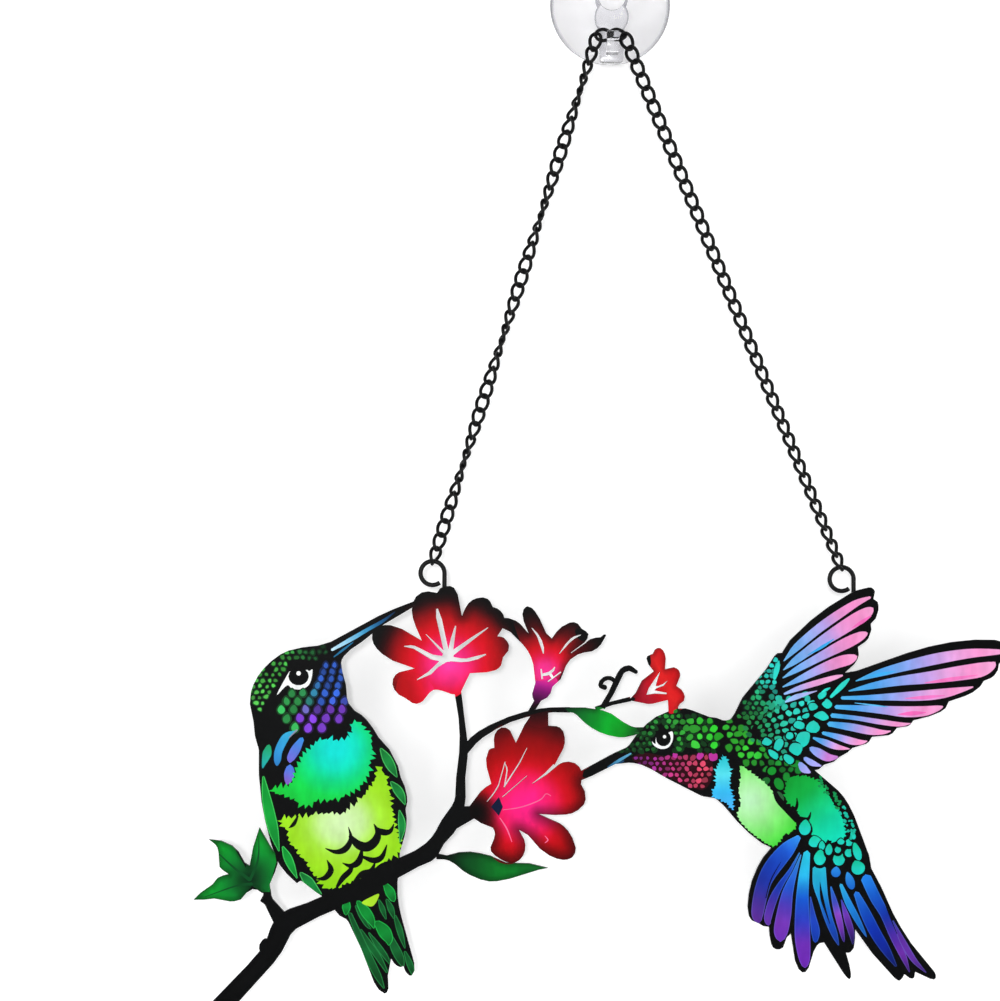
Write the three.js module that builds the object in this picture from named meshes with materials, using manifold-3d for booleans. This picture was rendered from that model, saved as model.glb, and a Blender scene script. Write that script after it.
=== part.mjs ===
// A hanging ornament cut from one iron sheet: two hummingbirds at their flowers on a leafy branch.
// Two wire eyes on its back hold a curb chain, and the chain hangs on a clear hook on a suction cup.
// Millimetres, +Z up. The origin is the middle of the cup's face on the glass, which looks along +Y.

import * as THREE from 'three';
import { mergeVertices } from 'three/addons/utils/BufferGeometryUtils.js';
import Module from 'manifold-3d';

const wasm = await Module();
wasm.setup();

// Gap that is left between two pieces that touch on the real object
const FIT_GAP = 0.3;

// Suction cup
const CUP_RADIUS = 20.4;
const CUP_RIM = 0.9;
const CUP_HEIGHT = 7.6;
const CUP_POCKET_RADIUS = 14.5;
const CUP_POCKET_DEPTH = 1.3;
const CUP_SIDES = 20;
const NECK_RADIUS = 3.6;
const NECK_LENGTH = 3.4;
const HEAD_RADIUS = 4.6;
const HEAD_HEIGHT = 2.8;
const HEAD_BEVEL = 1.1;
const HEAD_FLARE = 0.6;

// The cup's dome: shares of the way out from the neck to the rim, and of the height above the rim
const CUP_DOME = [[0.12, 0.77], [0.35, 0.46], [0.68, 0.18]];
// Its hollow: the same kind of shares, of the hollow's own radius and depth
const POCKET_BEND = [0.6, 0.8];

// Clear hook, which hangs on the cup's neck
const HOOK_RING_WALL = 1.6;
const HOOK_DISC_RADIUS = 5.7;
const HOOK_DISC_DROP = 6.3;
const HOOK_LEG_WIDTH = 8;
const HOOK_LEG_DROP = 21.5;
const HOOK_SIDES = 24;
const PEG_WIDTH = 4;
const PEG_HEIGHT = 4;
const PEG_DROP = 15.2;
const CROOK_GAP = 4.6;
const LIP_THICKNESS = 2.4;
const LIP_HEIGHT = 2.8;
const LIP_TAPER = 0.6;
const CROOK_FILLET = 0.9;
const LEG_CORNER = 1.3;
const CROOK_STEPS = 4;

// Curb chain
const LINK_WIRE = 0.95;
const LINK_PITCH = 4.87;
const LINK_WIDTH = 4.5;
const LINK_SINK = 0.27;
const LINK_STEPS = 6;
const LINK_SIDES = 3;
const LINK_ERROR = 0.12;
const LINK_TWIST = Math.PI / 2;
const LEFT_RUN_TURNS = 2;

// Cut sheet
const SHEET_WIDTH = 271.5;
const SHEET_THICKNESS = 1;
const SHEET_DROP = 268.5;
const SHEET_SIDE = -4.2;
const CHORD_ERROR = 0.16;
const CURVE_STEPS = 8;
const DISC_SIDES = 10;

// Wire eyes
const EYE_WIRE = 1.3;
const EYE_RADIUS = 4;
const EYE_STEM = 4.3;
const EYE_LAP = 8;
const EYE_OPEN_ANGLE = 0.92;
const EYE_STEPS = 20;
const EYE_SIDES = 5;

// The figures below are drawn about a point in the middle of the sheet, in shares of this width
const DRAWN_WIDTH = 271.5;
const FIGURE_SCALE = SHEET_WIDTH / DRAWN_WIDTH;

// Where each eye's stem crosses the edge of the drawn sheet
const LEFT_EYE_FOOT = [-51.8, 71.3];
const RIGHT_EYE_FOOT = [85, 69.3];

// Places that follow from the sizes
const HOOK_THICKNESS = NECK_LENGTH - 2 * FIT_GAP;
const HOOK_BACK_Y = -CUP_HEIGHT - FIT_GAP;
const HOOK_FRONT_Y = HOOK_BACK_Y - HOOK_THICKNESS;
const CHAIN_Y = HOOK_FRONT_Y - CROOK_GAP / 2;
const CHAIN_TOP_Z = -PEG_DROP + LINK_WIDTH / 2 + FIT_GAP;
const SHEET_BACK_Y = CHAIN_Y - cornerRadius(EYE_WIRE, EYE_SIDES) - FIT_GAP;

// Helpers: solids

function withoutSlivers(index) {
  const kept = [];
  for (let i = 0; i < index.length; i += 3) {
    const [a, b, c] = [index[i], index[i + 1], index[i + 2]];
    if (a !== b && b !== c && c !== a) {
      kept.push(a, b, c);
    }
  }
  return new Uint32Array(kept);
}

function solidOf(geometry) {
  const bare = geometry.clone();
  bare.deleteAttribute('normal');
  bare.deleteAttribute('uv');
  const merged = mergeVertices(bare, 1e-4);
  return new wasm.Manifold(new wasm.Mesh({
    numProp: 3,
    vertProperties: new Float32Array(merged.attributes.position.array),
    triVerts: withoutSlivers(merged.index.array),
  }));
}

function geometryOf(solid) {
  const mesh = solid.getMesh();
  const geometry = new THREE.BufferGeometry();
  geometry.setAttribute('position', new THREE.BufferAttribute(new Float32Array(mesh.vertProperties), 3));
  geometry.setIndex(new THREE.BufferAttribute(new Uint32Array(mesh.triVerts), 1));
  geometry.computeVertexNormals();
  return geometry;
}

function joined(solids) {
  return solids.reduce((whole, next) => whole.add(next));
}

// Helpers: drawing on the sheet

// Douglas and Peucker's way to drop the points that a straight chord stands for
function thinned(points) {
  if (points.length < 3) {
    return points;
  }
  const chord = new THREE.Line3(
    new THREE.Vector3(points[0].x, points[0].y, 0),
    new THREE.Vector3(points.at(-1).x, points.at(-1).y, 0),
  );
  const foot = new THREE.Vector3();
  let worst = 0;
  let farthest = 0;
  points.forEach((point, i) => {
    const place = new THREE.Vector3(point.x, point.y, 0);
    const distance = chord.closestPointToPoint(place, true, foot).distanceTo(place);
    if (distance > worst) {
      worst = distance;
      farthest = i;
    }
  });
  if (worst <= CHORD_ERROR) {
    return [points[0], points.at(-1)];
  }
  return [...thinned(points.slice(0, farthest + 1)).slice(0, -1), ...thinned(points.slice(farthest))];
}

function smoothLine(stations) {
  const places = stations.map(([u, v, half = 0]) => (
    new THREE.Vector3(u, v, half).multiplyScalar(FIGURE_SCALE)));
  return new THREE.CatmullRomCurve3(places, false, 'centripetal');
}

// A closed outline made of smooth runs. Each run starts where the last one ended, and a corner is left there.
function outline(...runs) {
  return runs.flatMap((run, i) => {
    const start = runs.at(i - 1).at(-1);
    const line = smoothLine([start, ...run]);
    return thinned(line.getPoints(run.length * CURVE_STEPS).map(({ x, y }) => new THREE.Vector2(x, y))).slice(0, -1);
  });
}

// The outline of a strip along a smooth line. A station is its place and the strip's half width there.
function strip(...stations) {
  const line = smoothLine(stations);
  const count = (stations.length - 1) * CURVE_STEPS;
  const left = [];
  const right = [];
  for (let i = 0; i <= count; i += 1) {
    const { x, y, z: half } = line.getPoint(i / count);
    const along = line.getTangent(i / count);
    const side = new THREE.Vector2(-along.y, along.x).normalize().multiplyScalar(half);
    left.push(new THREE.Vector2(x + side.x, y + side.y));
    right.push(new THREE.Vector2(x - side.x, y - side.y));
  }
  return [...thinned(left), ...thinned(right).reverse()];
}

function disc(u, v, radius) {
  return Array.from({ length: DISC_SIDES }, (_, i) => {
    const turn = (2 * Math.PI * i) / DISC_SIDES;
    return new THREE.Vector2(u + radius * Math.cos(turn), v + radius * Math.sin(turn))
      .multiplyScalar(FIGURE_SCALE);
  });
}

function plate(points, thickness, extra = 0) {
  const shape = new THREE.Shape(points);
  const geometry = new THREE.ExtrudeGeometry(shape, { depth: thickness + 2 * extra, bevelEnabled: false });
  return solidOf(geometry.translate(0, 0, -extra));
}

// Bird on the left, which sits across the branch and reaches up to the open flower

function sittingBird() {
  const body = outline(
    [[-69.5, 63.3], [-76.4, 60], [-84.2, 55.6], [-89.7, 52.7], [-94, 51.4], [-99.9, 50.7], [-105.2, 49.2],
      [-110.1, 45.8], [-114, 41.3], [-116.2, 36.5], [-116.7, 32], [-115.5, 26.2], [-115, 21.3]],
    [[-113.7, 16.7], [-113.7, 8.3], [-112.8, -0.7], [-110.8, -10.3], [-107.7, -20], [-104.7, -24.3], [-101, -27.8]],
    [[-99.7, -27], [-96.7, -29.2], [-92.3, -32.3], [-85, -35]],
    [[-67.4, -27]],
    [[-67.2, -22.7], [-66.5, -16.7], [-64.9, -11.3], [-64.4, -6.8], [-64.8, -3.4]],
    [[-64.2, -0.3], [-64.9, 3.9], [-66.4, 7.4]],
    [[-67.1, 10.6], [-70.2, 16.8], [-73.8, 20.8], [-76, 24.4], [-79.1, 28], [-81.8, 29.7], [-84, 32.6],
      [-84.7, 38.4], [-86, 43.3], [-86.2, 46.3], [-84.2, 49.2], [-79.3, 52.7], [-72, 58.5], [-62, 64.4]],
    [[-62, 66.2]],
  );
  const tail = outline(
    [[-88.3, -36.8]],
    [[-87, -38.4], [-85.8, -39.2], [-84.4, -39.9], [-82.1, -44.1], [-79.3, -50.3], [-77.2, -55.8], [-75.7, -60], [-73.7, -63.3], [-71.5, -64.6],
      [-70.6, -63.3], [-70.7, -58.7], [-69.6, -52.9]],
    [[-68.2, -54.9], [-66.4, -55.8], [-65.5, -55.4]],
    [[-64.7, -57.4], [-63, -58.7], [-61.9, -57.3], [-61.9, -54.5], [-63, -50.5], [-65, -43.4], [-66.6, -37.3],
      [-67.4, -32.5], [-67.5, -26]],
    [[-78, -30], [-87.5, -34.5]],
  );
  return [body, tail];
}

// Bird on the right, which hovers with both wings up and its tail spread

function hoveringBird() {
  const body = outline(
    [[0.5, 13.3], [5, 15.7], [9.3, 17.7], [11, 20], [12.7, 22.3], [14.9, 24.6], [18.7, 27.6], [23, 29.5], [28, 30.5],
      [32.3, 29.3], [36.6, 27.6], [39, 27.3], [41, 26.5], [43.3, 26.7], [45, 28.8], [47.2, 33.5], [50.6, 37.8],
      [56, 44.3], [57.7, 47.2], [59.3, 48.9], [61, 49]],
    [[70, 40], [84, 42.8]],
    [[78, 28], [71.5, 10]],
    [[75.7, 6.4], [80.6, 1.9], [84, -3.5], [86.7, -10.3], [89.2, -17.3], [90.5, -22.8]],
    [[74, -24], [57.2, -16]],
    [[54.4, -14.7], [51, -12.2], [47.7, -9.2], [44.7, -6], [40.8, -1.4], [38.3, 0.5], [34, 1.3], [28.9, 4], [22.1, 7.3], [17, 10.3],
      [12.8, 12], [8.5, 12.4], [4.7, 11.8], [1.3, 10], [-3.3, 7.7], [-7, 6.2]],
    [[-7, 9.2]],
  );
  const upperWing = outline(
    [[63, 52.7], [67.6, 57.3], [72, 61.2], [76.8, 64.7], [81.6, 67.6], [84.8, 69.5], [88, 70.4], [90.5, 70.8],
      [91.7, 69.5], [91.2, 67]],
    [[92.6, 66], [92.8, 62.8], [91.8, 60.2], [90.3, 58.7]],
    [[90.5, 56.7], [89.3, 53.5], [86, 51]],
    [[86.3, 48.1], [85.1, 45.6], [82, 42.7]],
    [[72, 30], [60, 30], [60.7, 48.9]],
  );
  const lowerWing = outline(
    [[84.5, 42.7], [85.7, 43], [93.6, 45.7], [105.5, 49.9], [117.3, 52.6], [129.3, 53.5], [133.3, 53], [136, 51.3],
      [135.3, 48], [133, 45.3]],
    [[132.7, 43.3], [131, 41], [128, 39.7]],
    [[126.7, 37.7], [123.3, 35.3], [116.3, 32.8]],
    [[115, 30.3], [110.3, 28], [104.5, 26.5]],
    [[103, 24.7], [99, 24]],
    [[97, 21.8], [90.7, 21]],
    [[89.3, 19], [84.2, 17.3]],
    [[82.8, 16], [79.7, 14.2]],
    [[78, 12.7], [74.7, 11.7]],
    [[73, 10.2], [70, 9.5]],
    [[62, 20], [72, 36], [80, 42]],
  );
  const tail = outline(
    [[93.9, -29.2], [97.7, -37.7], [103.2, -47], [108.3, -53.3], [112, -58.3], [111.7, -59.8], [110, -59.6],
      [107, -58.1], [105.1, -57.3]],
    [[104.7, -59.3], [103.7, -59.6], [101.5, -58.1]],
    [[100.9, -59.3], [99.8, -60.3], [98.5, -59.6], [95.6, -56.3], [90.9, -51.3], [87, -45.8], [85.1, -43.2]],
    [[85.1, -46], [84.5, -49.7], [83.2, -50.9], [82, -50.9]],
    [[83.2, -55.1], [83.7, -59], [83.2, -59.8], [82, -58.8], [79.8, -55.6], [78.1, -52.6], [76, -49.6], [74.7, -47.5]],
    [[73, -47.9], [71.5, -50], [70.8, -52.3], [69.8, -55.6], [68.3, -57.5], [67, -57.3], [65.3, -54.3],
      [64.3, -49.2], [63.7, -44.5]],
    [[62.3, -45.8], [61.1, -49.2], [59.2, -49.9], [57.7, -49.2], [56.7, -45.8], [56.4, -42.3]],
    [[54.6, -42.1], [53, -41.2]],
    [[50.3, -39.9], [49.3, -36.3], [49.8, -30.7], [51.5, -24.9], [54.5, -19.2], [57.2, -16]],
    [[74, -12], [88.5, -16], [90.5, -22.8]],
  );
  return [body, upperWing, lowerWing, tail];
}

// Branch, stems, curl and leaves

function branchAndLeaves() {
  const branch = strip(
    [-127.3, -70, 3.3], [-109.5, -50.3, 3.1], [-104.9, -41.4, 3.6], [-96.3, -37, 2.9], [-83.3, -31.3, 2.9],
    [-67.7, -23, 3], [-61.7, -20, 2.6], [-56.7, -17.2, 2.95], [-53.9, -13.4, 2.3], [-50.3, -8.3, 2.9],
    [-46.8, -1, 1.9], [-46.4, 7.3, 1.55], [-45.4, 17, 1.45], [-46, 26, 1], [-47.5, 37, 1.15],
  );
  const knot = outline([[-111.8, -46.3], [-113.5, -48.2], [-113.5, -50.3], [-112, -53]], [[-107, -48]]);
  const flowerArm = strip([-51, -8.5, 2.6], [-46.7, -5.6, 3.1], [-42, -4, 2]);
  const twig = strip(
    [-45.6, 15.8, 1.4], [-40.8, 21, 1.3], [-31.3, 26.3, 0.95], [-23, 28.9, 0.9], [-17.3, 29.9, 0.8], [-10, 30, 0.9],
  );
  const stalk = strip([-20.3, 33.8, 1], [-23.2, 29, 0.9]);
  const bloomTwig = strip([-1.5, 30.3, 0.7], [4, 32.2, 0.65], [10.2, 33.6, 0.75]);
  const curl = strip(
    [0.8, 30.6, 0.9], [4, 36, 0.9], [5.8, 40, 0.95], [7.5, 43, 0.95], [9.7, 43.9, 0.95], [12, 42.7, 0.7],
  );
  const sideCurl = strip(
    [5.6, 39, 0.7], [3.7, 40.5, 0.7], [2, 40.5, 0.7], [0.5, 39.3, 0.75], [0.3, 38, 0.8], [1.6, 37.5, 0.8],
  );
  const leafStem = strip([-111, -30, 1.2], [-110.7, -33.3, 1.5], [-108.3, -37, 2.1], [-105, -42, 3]);
  const thorn = outline([[-113.3, -33.7]], [[-110.2, -36]], [[-110, -31]], [[-112.3, -31.7]]);
  const threeLobes = outline(
    [[-125.7, -13.8], [-121.8, -15.9], [-119.9, -18.2], [-118.5, -20.9], [-116.8, -22]],
    [[-116.2, -18.2], [-114.9, -13.2], [-113.5, -9.2]],
    [[-110.7, -14], [-108.3, -18.2], [-107.4, -20.1], [-108.3, -24], [-110.1, -28.2], [-109.8, -31.5]],
    [[-112.7, -31]],
    [[-113.5, -30.3], [-115.5, -29.7], [-117.7, -30.9], [-119.7, -33.2], [-122.7, -33.9], [-128.5, -32.9],
      [-132.3, -33.3], [-135.5, -33.3]],
    [[-133.3, -31.1], [-129.3, -28.3], [-127.8, -26.3], [-125.7, -25.3], [-123.7, -24.8]],
    [[-126.8, -22.3], [-127, -19], [-127.7, -15.5], [-130.3, -13.2]],
  );
  const lowerLeaf = outline(
    [[-54.5, -18], [-51, -18.6], [-48.3, -17.8], [-44, -17.3], [-36.4, -18.7], [-31.3, -21], [-23.5, -21.2],
      [-17.3, -22.7]],
    [[-20, -23.2], [-23.8, -24.4], [-30, -26.3], [-37, -27.2], [-44.4, -24.5], [-48.3, -21.4], [-51, -20],
      [-54.5, -19.8]],
  );
  const upperLeaf = outline(
    [[-8, 30.9], [-1.8, 30.4], [3.3, 29], [8.5, 25.5], [11.5, 24.2], [15, 24.2]],
    [[13.5, 22.3]],
    [[11.3, 21.5], [7, 20.8], [0.5, 22.3], [-4.2, 25], [-8.8, 29], [-12.1, 29.6]],
    [[-12.1, 30.8]],
  );
  return [
    branch, knot, flowerArm, twig, stalk, bloomTwig, curl, sideCurl, leafStem, thorn, threeLobes, lowerLeaf, upperLeaf,
    disc(12, 42.7, 0.7), disc(1.6, 37.5, 0.85),
  ];
}

// Flowers, from the open one at the top left to the small one on the right bird's head

function openFlower() {
  return [outline(
    [[-61, 56.7], [-62.4, 60.7], [-62.7, 64], [-62, 66.7], [-60.3, 68.7], [-57.7, 69.5], [-54.3, 69]],
    [[-53.3, 70.5], [-51, 71.3], [-49, 71], [-47.7, 69.3], [-47, 66.7], [-46, 61.3]],
    [[-45, 63.7], [-43.7, 65.7], [-41.7, 67], [-39, 67.5], [-37, 66.7], [-35.7, 64.3]],
    [[-34, 63.7], [-32.3, 62], [-31.7, 59.7], [-32.3, 57.3], [-34.2, 54.5]],
    [[-32.3, 54.2], [-31, 53], [-30.2, 51.3], [-30.5, 49.7], [-32.3, 47.5]],
    [[-32.7, 45.3], [-33.8, 43.8], [-36, 42.8], [-43.3, 42.2]],
    [[-44.7, 39.3], [-46.7, 35.2]],
    [[-49.3, 35.2]],
    [[-52.3, 36.3], [-55.3, 36.7], [-56.5, 36], [-59.3, 32.7], [-61.7, 32], [-65, 34]],
    [[-67, 35], [-68.7, 37], [-69.2, 39], [-68.7, 41], [-67, 42.5], [-61.7, 43.8]],
    [[-65.3, 45], [-69.7, 46.7], [-73, 49], [-75.3, 51.7], [-76, 54], [-75.7, 56], [-74, 57.7], [-71.3, 58.3],
      [-68, 57.8], [-64.7, 56.3], [-59.3, 53]],
  )];
}

function openFlowerSlots() {
  return [
    disc(-50.7, 47.8, 1.9),
    strip([-54.3, 63.7, 0.3], [-53.9, 61.5, 0.8], [-52.7, 56.7, 0.8], [-51, 48.5, 0.8]),
    strip([-58, 55.2, 0.12], [-55.3, 52.3, 0.3], [-51.5, 48.5, 0.5]),
    strip([-48.1, 58, 0.2], [-49, 54, 0.6], [-50, 48.5, 0.9]),
    strip([-37.3, 57.4, 0.15], [-42.5, 53.7, 0.6], [-49.3, 48.8, 0.8]),
    strip([-38, 48.5, 0.2], [-40.7, 47.4, 0.5], [-45, 46.5, 0.6], [-50, 47, 0.8]),
    strip([-65.3, 51.2, 0.12], [-62.3, 51, 0.5], [-59.3, 49.5, 0.75], [-56, 47.6, 0.85], [-51.5, 46.8, 1]),
    strip([-61, 40, 0.15], [-56.7, 42.3, 0.6], [-54.3, 44.7, 0.6], [-51.3, 47, 1]),
  ];
}

function trumpetFlower() {
  return [outline(
    [[-31.7, 60.7], [-30, 60.5], [-27.3, 59.3], [-25.3, 57.3], [-23.8, 55.5]],
    [[-25, 58.3], [-25.7, 60.7], [-25.7, 63], [-24.3, 64.5], [-22.7, 64], [-21, 62], [-19.7, 59.7], [-18.7, 57.3],
      [-17.7, 55.3], [-16, 53.8]],
    [[-14.7, 55.7], [-12.7, 57.7], [-10.7, 58.8], [-9, 59.3], [-7.3, 58.7], [-6, 57], [-5, 56.5], [-3.8, 55.3],
      [-4, 54], [-5.7, 51.7]],
    [[-3.7, 53.3], [-1.7, 54], [0.3, 54.2]],
    [[1.5, 55.2], [2.2, 55], [1.3, 53.3], [-0.3, 51], [-2.7, 49.5], [-5.7, 49], [-8.3, 48], [-10.3, 46.3],
      [-11.3, 44.7], [-12, 42.7], [-13, 40.3], [-15.8, 37.7]],
    [[-16.2, 36], [-17.3, 34.3], [-19.7, 33], [-21.8, 32.7]],
    [[-22.5, 34.3], [-22.5, 36], [-21.5, 39]],
    [[-21.7, 41.7], [-22.2, 45], [-23.3, 48.3], [-25, 51], [-27.7, 53.7], [-30.3, 56.3], [-33.5, 57.7]],
    [[-33.5, 60.7]],
  )];
}

function trumpetFlowerSlots() {
  return [
    strip([-22.7, 57.3, 0.12], [-21, 55.3, 0.3], [-19.7, 52.7, 0.5], [-19, 50.3, 0.4], [-18.8, 48.7, 0.12]),
    strip([-6.3, 55, 0.1], [-8.7, 54, 0.4], [-10.7, 52.3, 0.35], [-12.3, 50.3, 0.25], [-13.5, 48.7, 0.1]),
    strip([-4.6, 52.6, 0.2], [-9.6, 49, 0.12]),
    strip([-19.6, 43.6, 0.25], [-19.2, 40.2, 0.25]),
    strip([-19.3, 41.6, 0.45], [-17.3, 42, 0.5], [-15.6, 43.2, 0.4], [-15, 44.3, 0.15]),
    strip([-17.3, 39.4, 0.2], [-13, 42.6, 0.25]),
    strip([-16.6, 42, 0.5], [-15.8, 40.8, 0.4]),
  ];
}

function redFlower() {
  return [outline(
    [[-24.7, 25.7], [-26, 23.3], [-28, 19]],
    [[-29, 21], [-29.8, 23], [-31.3, 24], [-33, 24], [-34.5, 22.8], [-35.3, 21], [-35.2, 17.3]],
    [[-36.8, 16.8], [-37.7, 15], [-38, 12.7], [-37.5, 9.7], [-36.2, 5.3]],
    [[-38.3, 4], [-40.7, 1.7], [-43.5, -2.2]],
    [[-43, -5.5]],
    [[-39.7, -7.7], [-35.7, -9.3]],
    [[-35, -11], [-35.3, -13], [-36.2, -15], [-36.5, -16.7], [-35.3, -18.3], [-33.3, -19.7], [-31.3, -20.7],
      [-28.7, -21], [-26.7, -20], [-25.3, -18], [-24.8, -15.7], [-25.3, -13], [-27, -10]],
    [[-24, -11.7], [-22, -14], [-20, -16.3], [-17.3, -18.3], [-14, -19.7], [-11.3, -20], [-9, -19], [-8, -16.7],
      [-8.7, -13.7], [-10.3, -10.7], [-12.7, -8.3], [-15.7, -6.7], [-20.5, -4.7]],
    [[-16.7, -5], [-12.7, -5], [-9.3, -4.5], [-6.7, -3], [-5, -1], [-4.7, 1.3], [-5.3, 3.7], [-6.3, 5.2]],
    [[-6, 7], [-6, 9.3], [-6.7, 10.8], [-8.3, 12.2], [-11, 12.7], [-13.3, 12], [-16, 9.9]],
    [[-14.6, 12.5], [-13, 15.3], [-11.8, 18.3], [-11.7, 21], [-12.3, 23], [-13.7, 24.3], [-17.2, 24.7]],
    [[-17.2, 29.6]],
    [[-22.8, 28.4]],
  )];
}

function redFlowerSlots() {
  return [
    strip([-15, 11.5, 0.6], [-17.5, 9.1, 0.45], [-20, 7.2, 0.25], [-22.5, 5.4, 0.1]),
    strip([-37.7, -0.7, 0.1], [-35.7, 1.7, 0.2], [-33.7, 5, 0.2], [-32.7, 9, 0.2], [-31.6, 12.7, 0.15]),
    strip([-31.8, 12.4, 0.15], [-31, 10.5, 0.2], [-31.2, 7.3, 0.2], [-31.8, 4.4, 0.2]),
    strip([-32, 4.2, 0.25], [-29.7, 8, 0.2], [-26.7, 12.5, 0.2], [-24.3, 17.3, 0.12]),
    strip([-32.5, 0.9, 0.15], [-29, 4, 0.2], [-24.3, 8, 0.12]),
  ];
}

function smallFlower() {
  return [outline(
    [[11.3, 34.8], [12, 35.7], [12.7, 37.3], [14, 39.7], [16, 41.3], [18, 42.8]],
    [[16.7, 44.3], [15.7, 46.3], [15.7, 47.7], [17.7, 48.7]],
    [[18.3, 50], [19.7, 50.7], [21, 50], [21.8, 48.3], [22, 46], [21.7, 43.5]],
    [[22.7, 43.8], [24.7, 44.2], [26.3, 43.3], [26.8, 41.7], [26.3, 39.7], [25.5, 38]],
    [[27, 37], [28.3, 34.7], [28, 33], [26.7, 32], [26, 30.7], [26, 28.5]],
    [[23, 28]],
    [[22.8, 30.7], [22.7, 33.3]],
    [[20, 32.8], [17.3, 32], [15, 32], [12.3, 32.7], [9.7, 33.2]],
  )];
}

function smallFlowerSlots() {
  return [
    outline(
      [[19.6, 41.3], [18.9, 39]],
      [[18.7, 37.9], [21, 38.6], [22.8, 40]],
      [[21.3, 38], [19, 37.2], [18.2, 36.5]],
      [[20, 36], [22.3, 35.7]],
      [[22.3, 35.2]],
      [[18.3, 35.4], [15.5, 35]],
      [[16, 36.7], [17.7, 39.3], [20.2, 43]],
    ),
  ];
}

// The whole sheet: every figure joined into one plate, with the slots cut through it

const FRONT = new THREE.Matrix4().makeBasis(
  new THREE.Vector3(1, 0, 0),
  new THREE.Vector3(0, 0, 1),
  new THREE.Vector3(0, -1, 0),
);

function cutSheet() {
  const figures = [
    sittingBird(), hoveringBird(), branchAndLeaves(), openFlower(), trumpetFlower(), redFlower(), smallFlower(),
  ].flat();
  const slots = [
    openFlowerSlots(), trumpetFlowerSlots(), redFlowerSlots(), smallFlowerSlots(),
  ].flat();
  const metal = joined(figures.map((points) => plate(points, SHEET_THICKNESS)));
  const openings = joined(slots.map((points) => plate(points, SHEET_THICKNESS, FIT_GAP)));
  const sheet = metal.subtract(openings).asOriginal().simplify(CHORD_ERROR / 2);
  return geometryOf(sheet).applyMatrix4(FRONT);
}

// Wire eye: a round loop that rises from a stem, with its free end just short of the stem

class EyeLine extends THREE.Curve {
  constructor() {
    super();
    this.stem = EYE_STEM + EYE_LAP;
    this.arc = EYE_RADIUS * (2 * Math.PI - EYE_OPEN_ANGLE);
  }

  getPoint(share, target = new THREE.Vector3()) {
    const run = share * (this.stem + this.arc);
    if (run < this.stem) {
      return target.set(0, 0, run - this.stem);
    }
    const turn = (run - this.stem) / EYE_RADIUS;
    return target.set(EYE_RADIUS * (Math.cos(turn) - 1), 0, EYE_RADIUS * Math.sin(turn));
  }
}

// A wire with few flat sides gets the section area of the round one
function cornerRadius(wire, sides) {
  return (wire / 2) * Math.sqrt((2 * Math.PI) / (sides * Math.sin((2 * Math.PI) / sides)));
}

function ringShape(radius, sides) {
  return new THREE.Shape(Array.from({ length: sides }, (_, i) => {
    const turn = (2 * Math.PI * (i + 0.5)) / sides;
    return new THREE.Vector2(radius * Math.cos(turn), radius * Math.sin(turn));
  }));
}

function wireEye() {
  return new THREE.ExtrudeGeometry(ringShape(cornerRadius(EYE_WIRE, EYE_SIDES), EYE_SIDES), {
    steps: EYE_STEPS,
    extrudePath: new EyeLine(),
    bevelEnabled: false,
  });
}

// Middle of an eye's loop in the hanging object, from the place where its stem crosses the sheet's edge
function eyeCentre([u, v]) {
  return new THREE.Vector3(
    SHEET_SIDE + u * FIGURE_SCALE - EYE_RADIUS,
    CHAIN_Y,
    -SHEET_DROP + v * FIGURE_SCALE + EYE_STEM,
  );
}

// Curb chain

class LinkLine extends THREE.Curve {
  constructor(start, end, roll) {
    super();
    this.middle = start.clone().add(end).divideScalar(2);
    this.along = end.clone().sub(start);
    this.reach = this.along.length() / 2 + LINK_WIRE / 2 - LINK_SINK / 2;
    this.along.normalize();
    this.across = new THREE.Vector3(-this.along.z, 0, this.along.x);
    this.roll = roll;
  }

  getPoint(share, target = new THREE.Vector3()) {
    const turn = 2 * Math.PI * share;
    const side = ((LINK_WIDTH - LINK_WIRE) / 2) * Math.sin(turn);
    const lean = this.roll + (LINK_TWIST / 2) * Math.cos(turn);
    return target.copy(this.middle)
      .addScaledVector(this.along, this.reach * Math.cos(turn))
      .addScaledVector(this.across, side * Math.cos(lean))
      .add(new THREE.Vector3(0, side * Math.sin(lean), 0));
  }
}

function link(start, end, roll) {
  const line = new LinkLine(start, end, roll);
  const corner = cornerRadius(LINK_WIRE, LINK_SIDES);
  return solidOf(new THREE.TubeGeometry(line, LINK_STEPS, corner, LINK_SIDES, true));
}

// One side of the chain: a level link over the peg, then links straight down to the eye
function chainRun(side, foot, turns) {
  const corner = cornerRadius(LINK_WIRE, LINK_SIDES);
  const tip = corner + (LINK_WIRE - LINK_SINK) / 2;
  const first = new THREE.Vector3(side * (tip + FIT_GAP / 2), CHAIN_Y, CHAIN_TOP_Z);
  const shoulder = first.clone().add(new THREE.Vector3(side * LINK_PITCH, 0, 0));
  const loopTop = eyeCentre(foot).add(new THREE.Vector3(0, 0, EYE_RADIUS));
  const down = loopTop.clone().sub(shoulder).normalize();
  const hold = cornerRadius(EYE_WIRE, EYE_SIDES) + corner + 2 * FIT_GAP - (LINK_WIRE - LINK_SINK) / 2;
  const last = loopTop.addScaledVector(down, hold);
  const count = Math.round(last.distanceTo(shoulder) / LINK_PITCH);
  const endRoll = LINK_TWIST / 2;
  const links = [link(first, shoulder, 0)];
  for (let i = 0; i < count; i += 1) {
    const start = shoulder.clone().lerp(last, i / count);
    const end = shoulder.clone().lerp(last, (i + 1) / count);
    links.push(link(start, end, (endRoll + 2 * Math.PI * turns) * ((i + 1) / count)));
  }
  return geometryOf(joined(links).asOriginal().simplify(LINK_ERROR));
}

// Suction cup: a lathe profile of radius and distance in front of the glass

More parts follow.
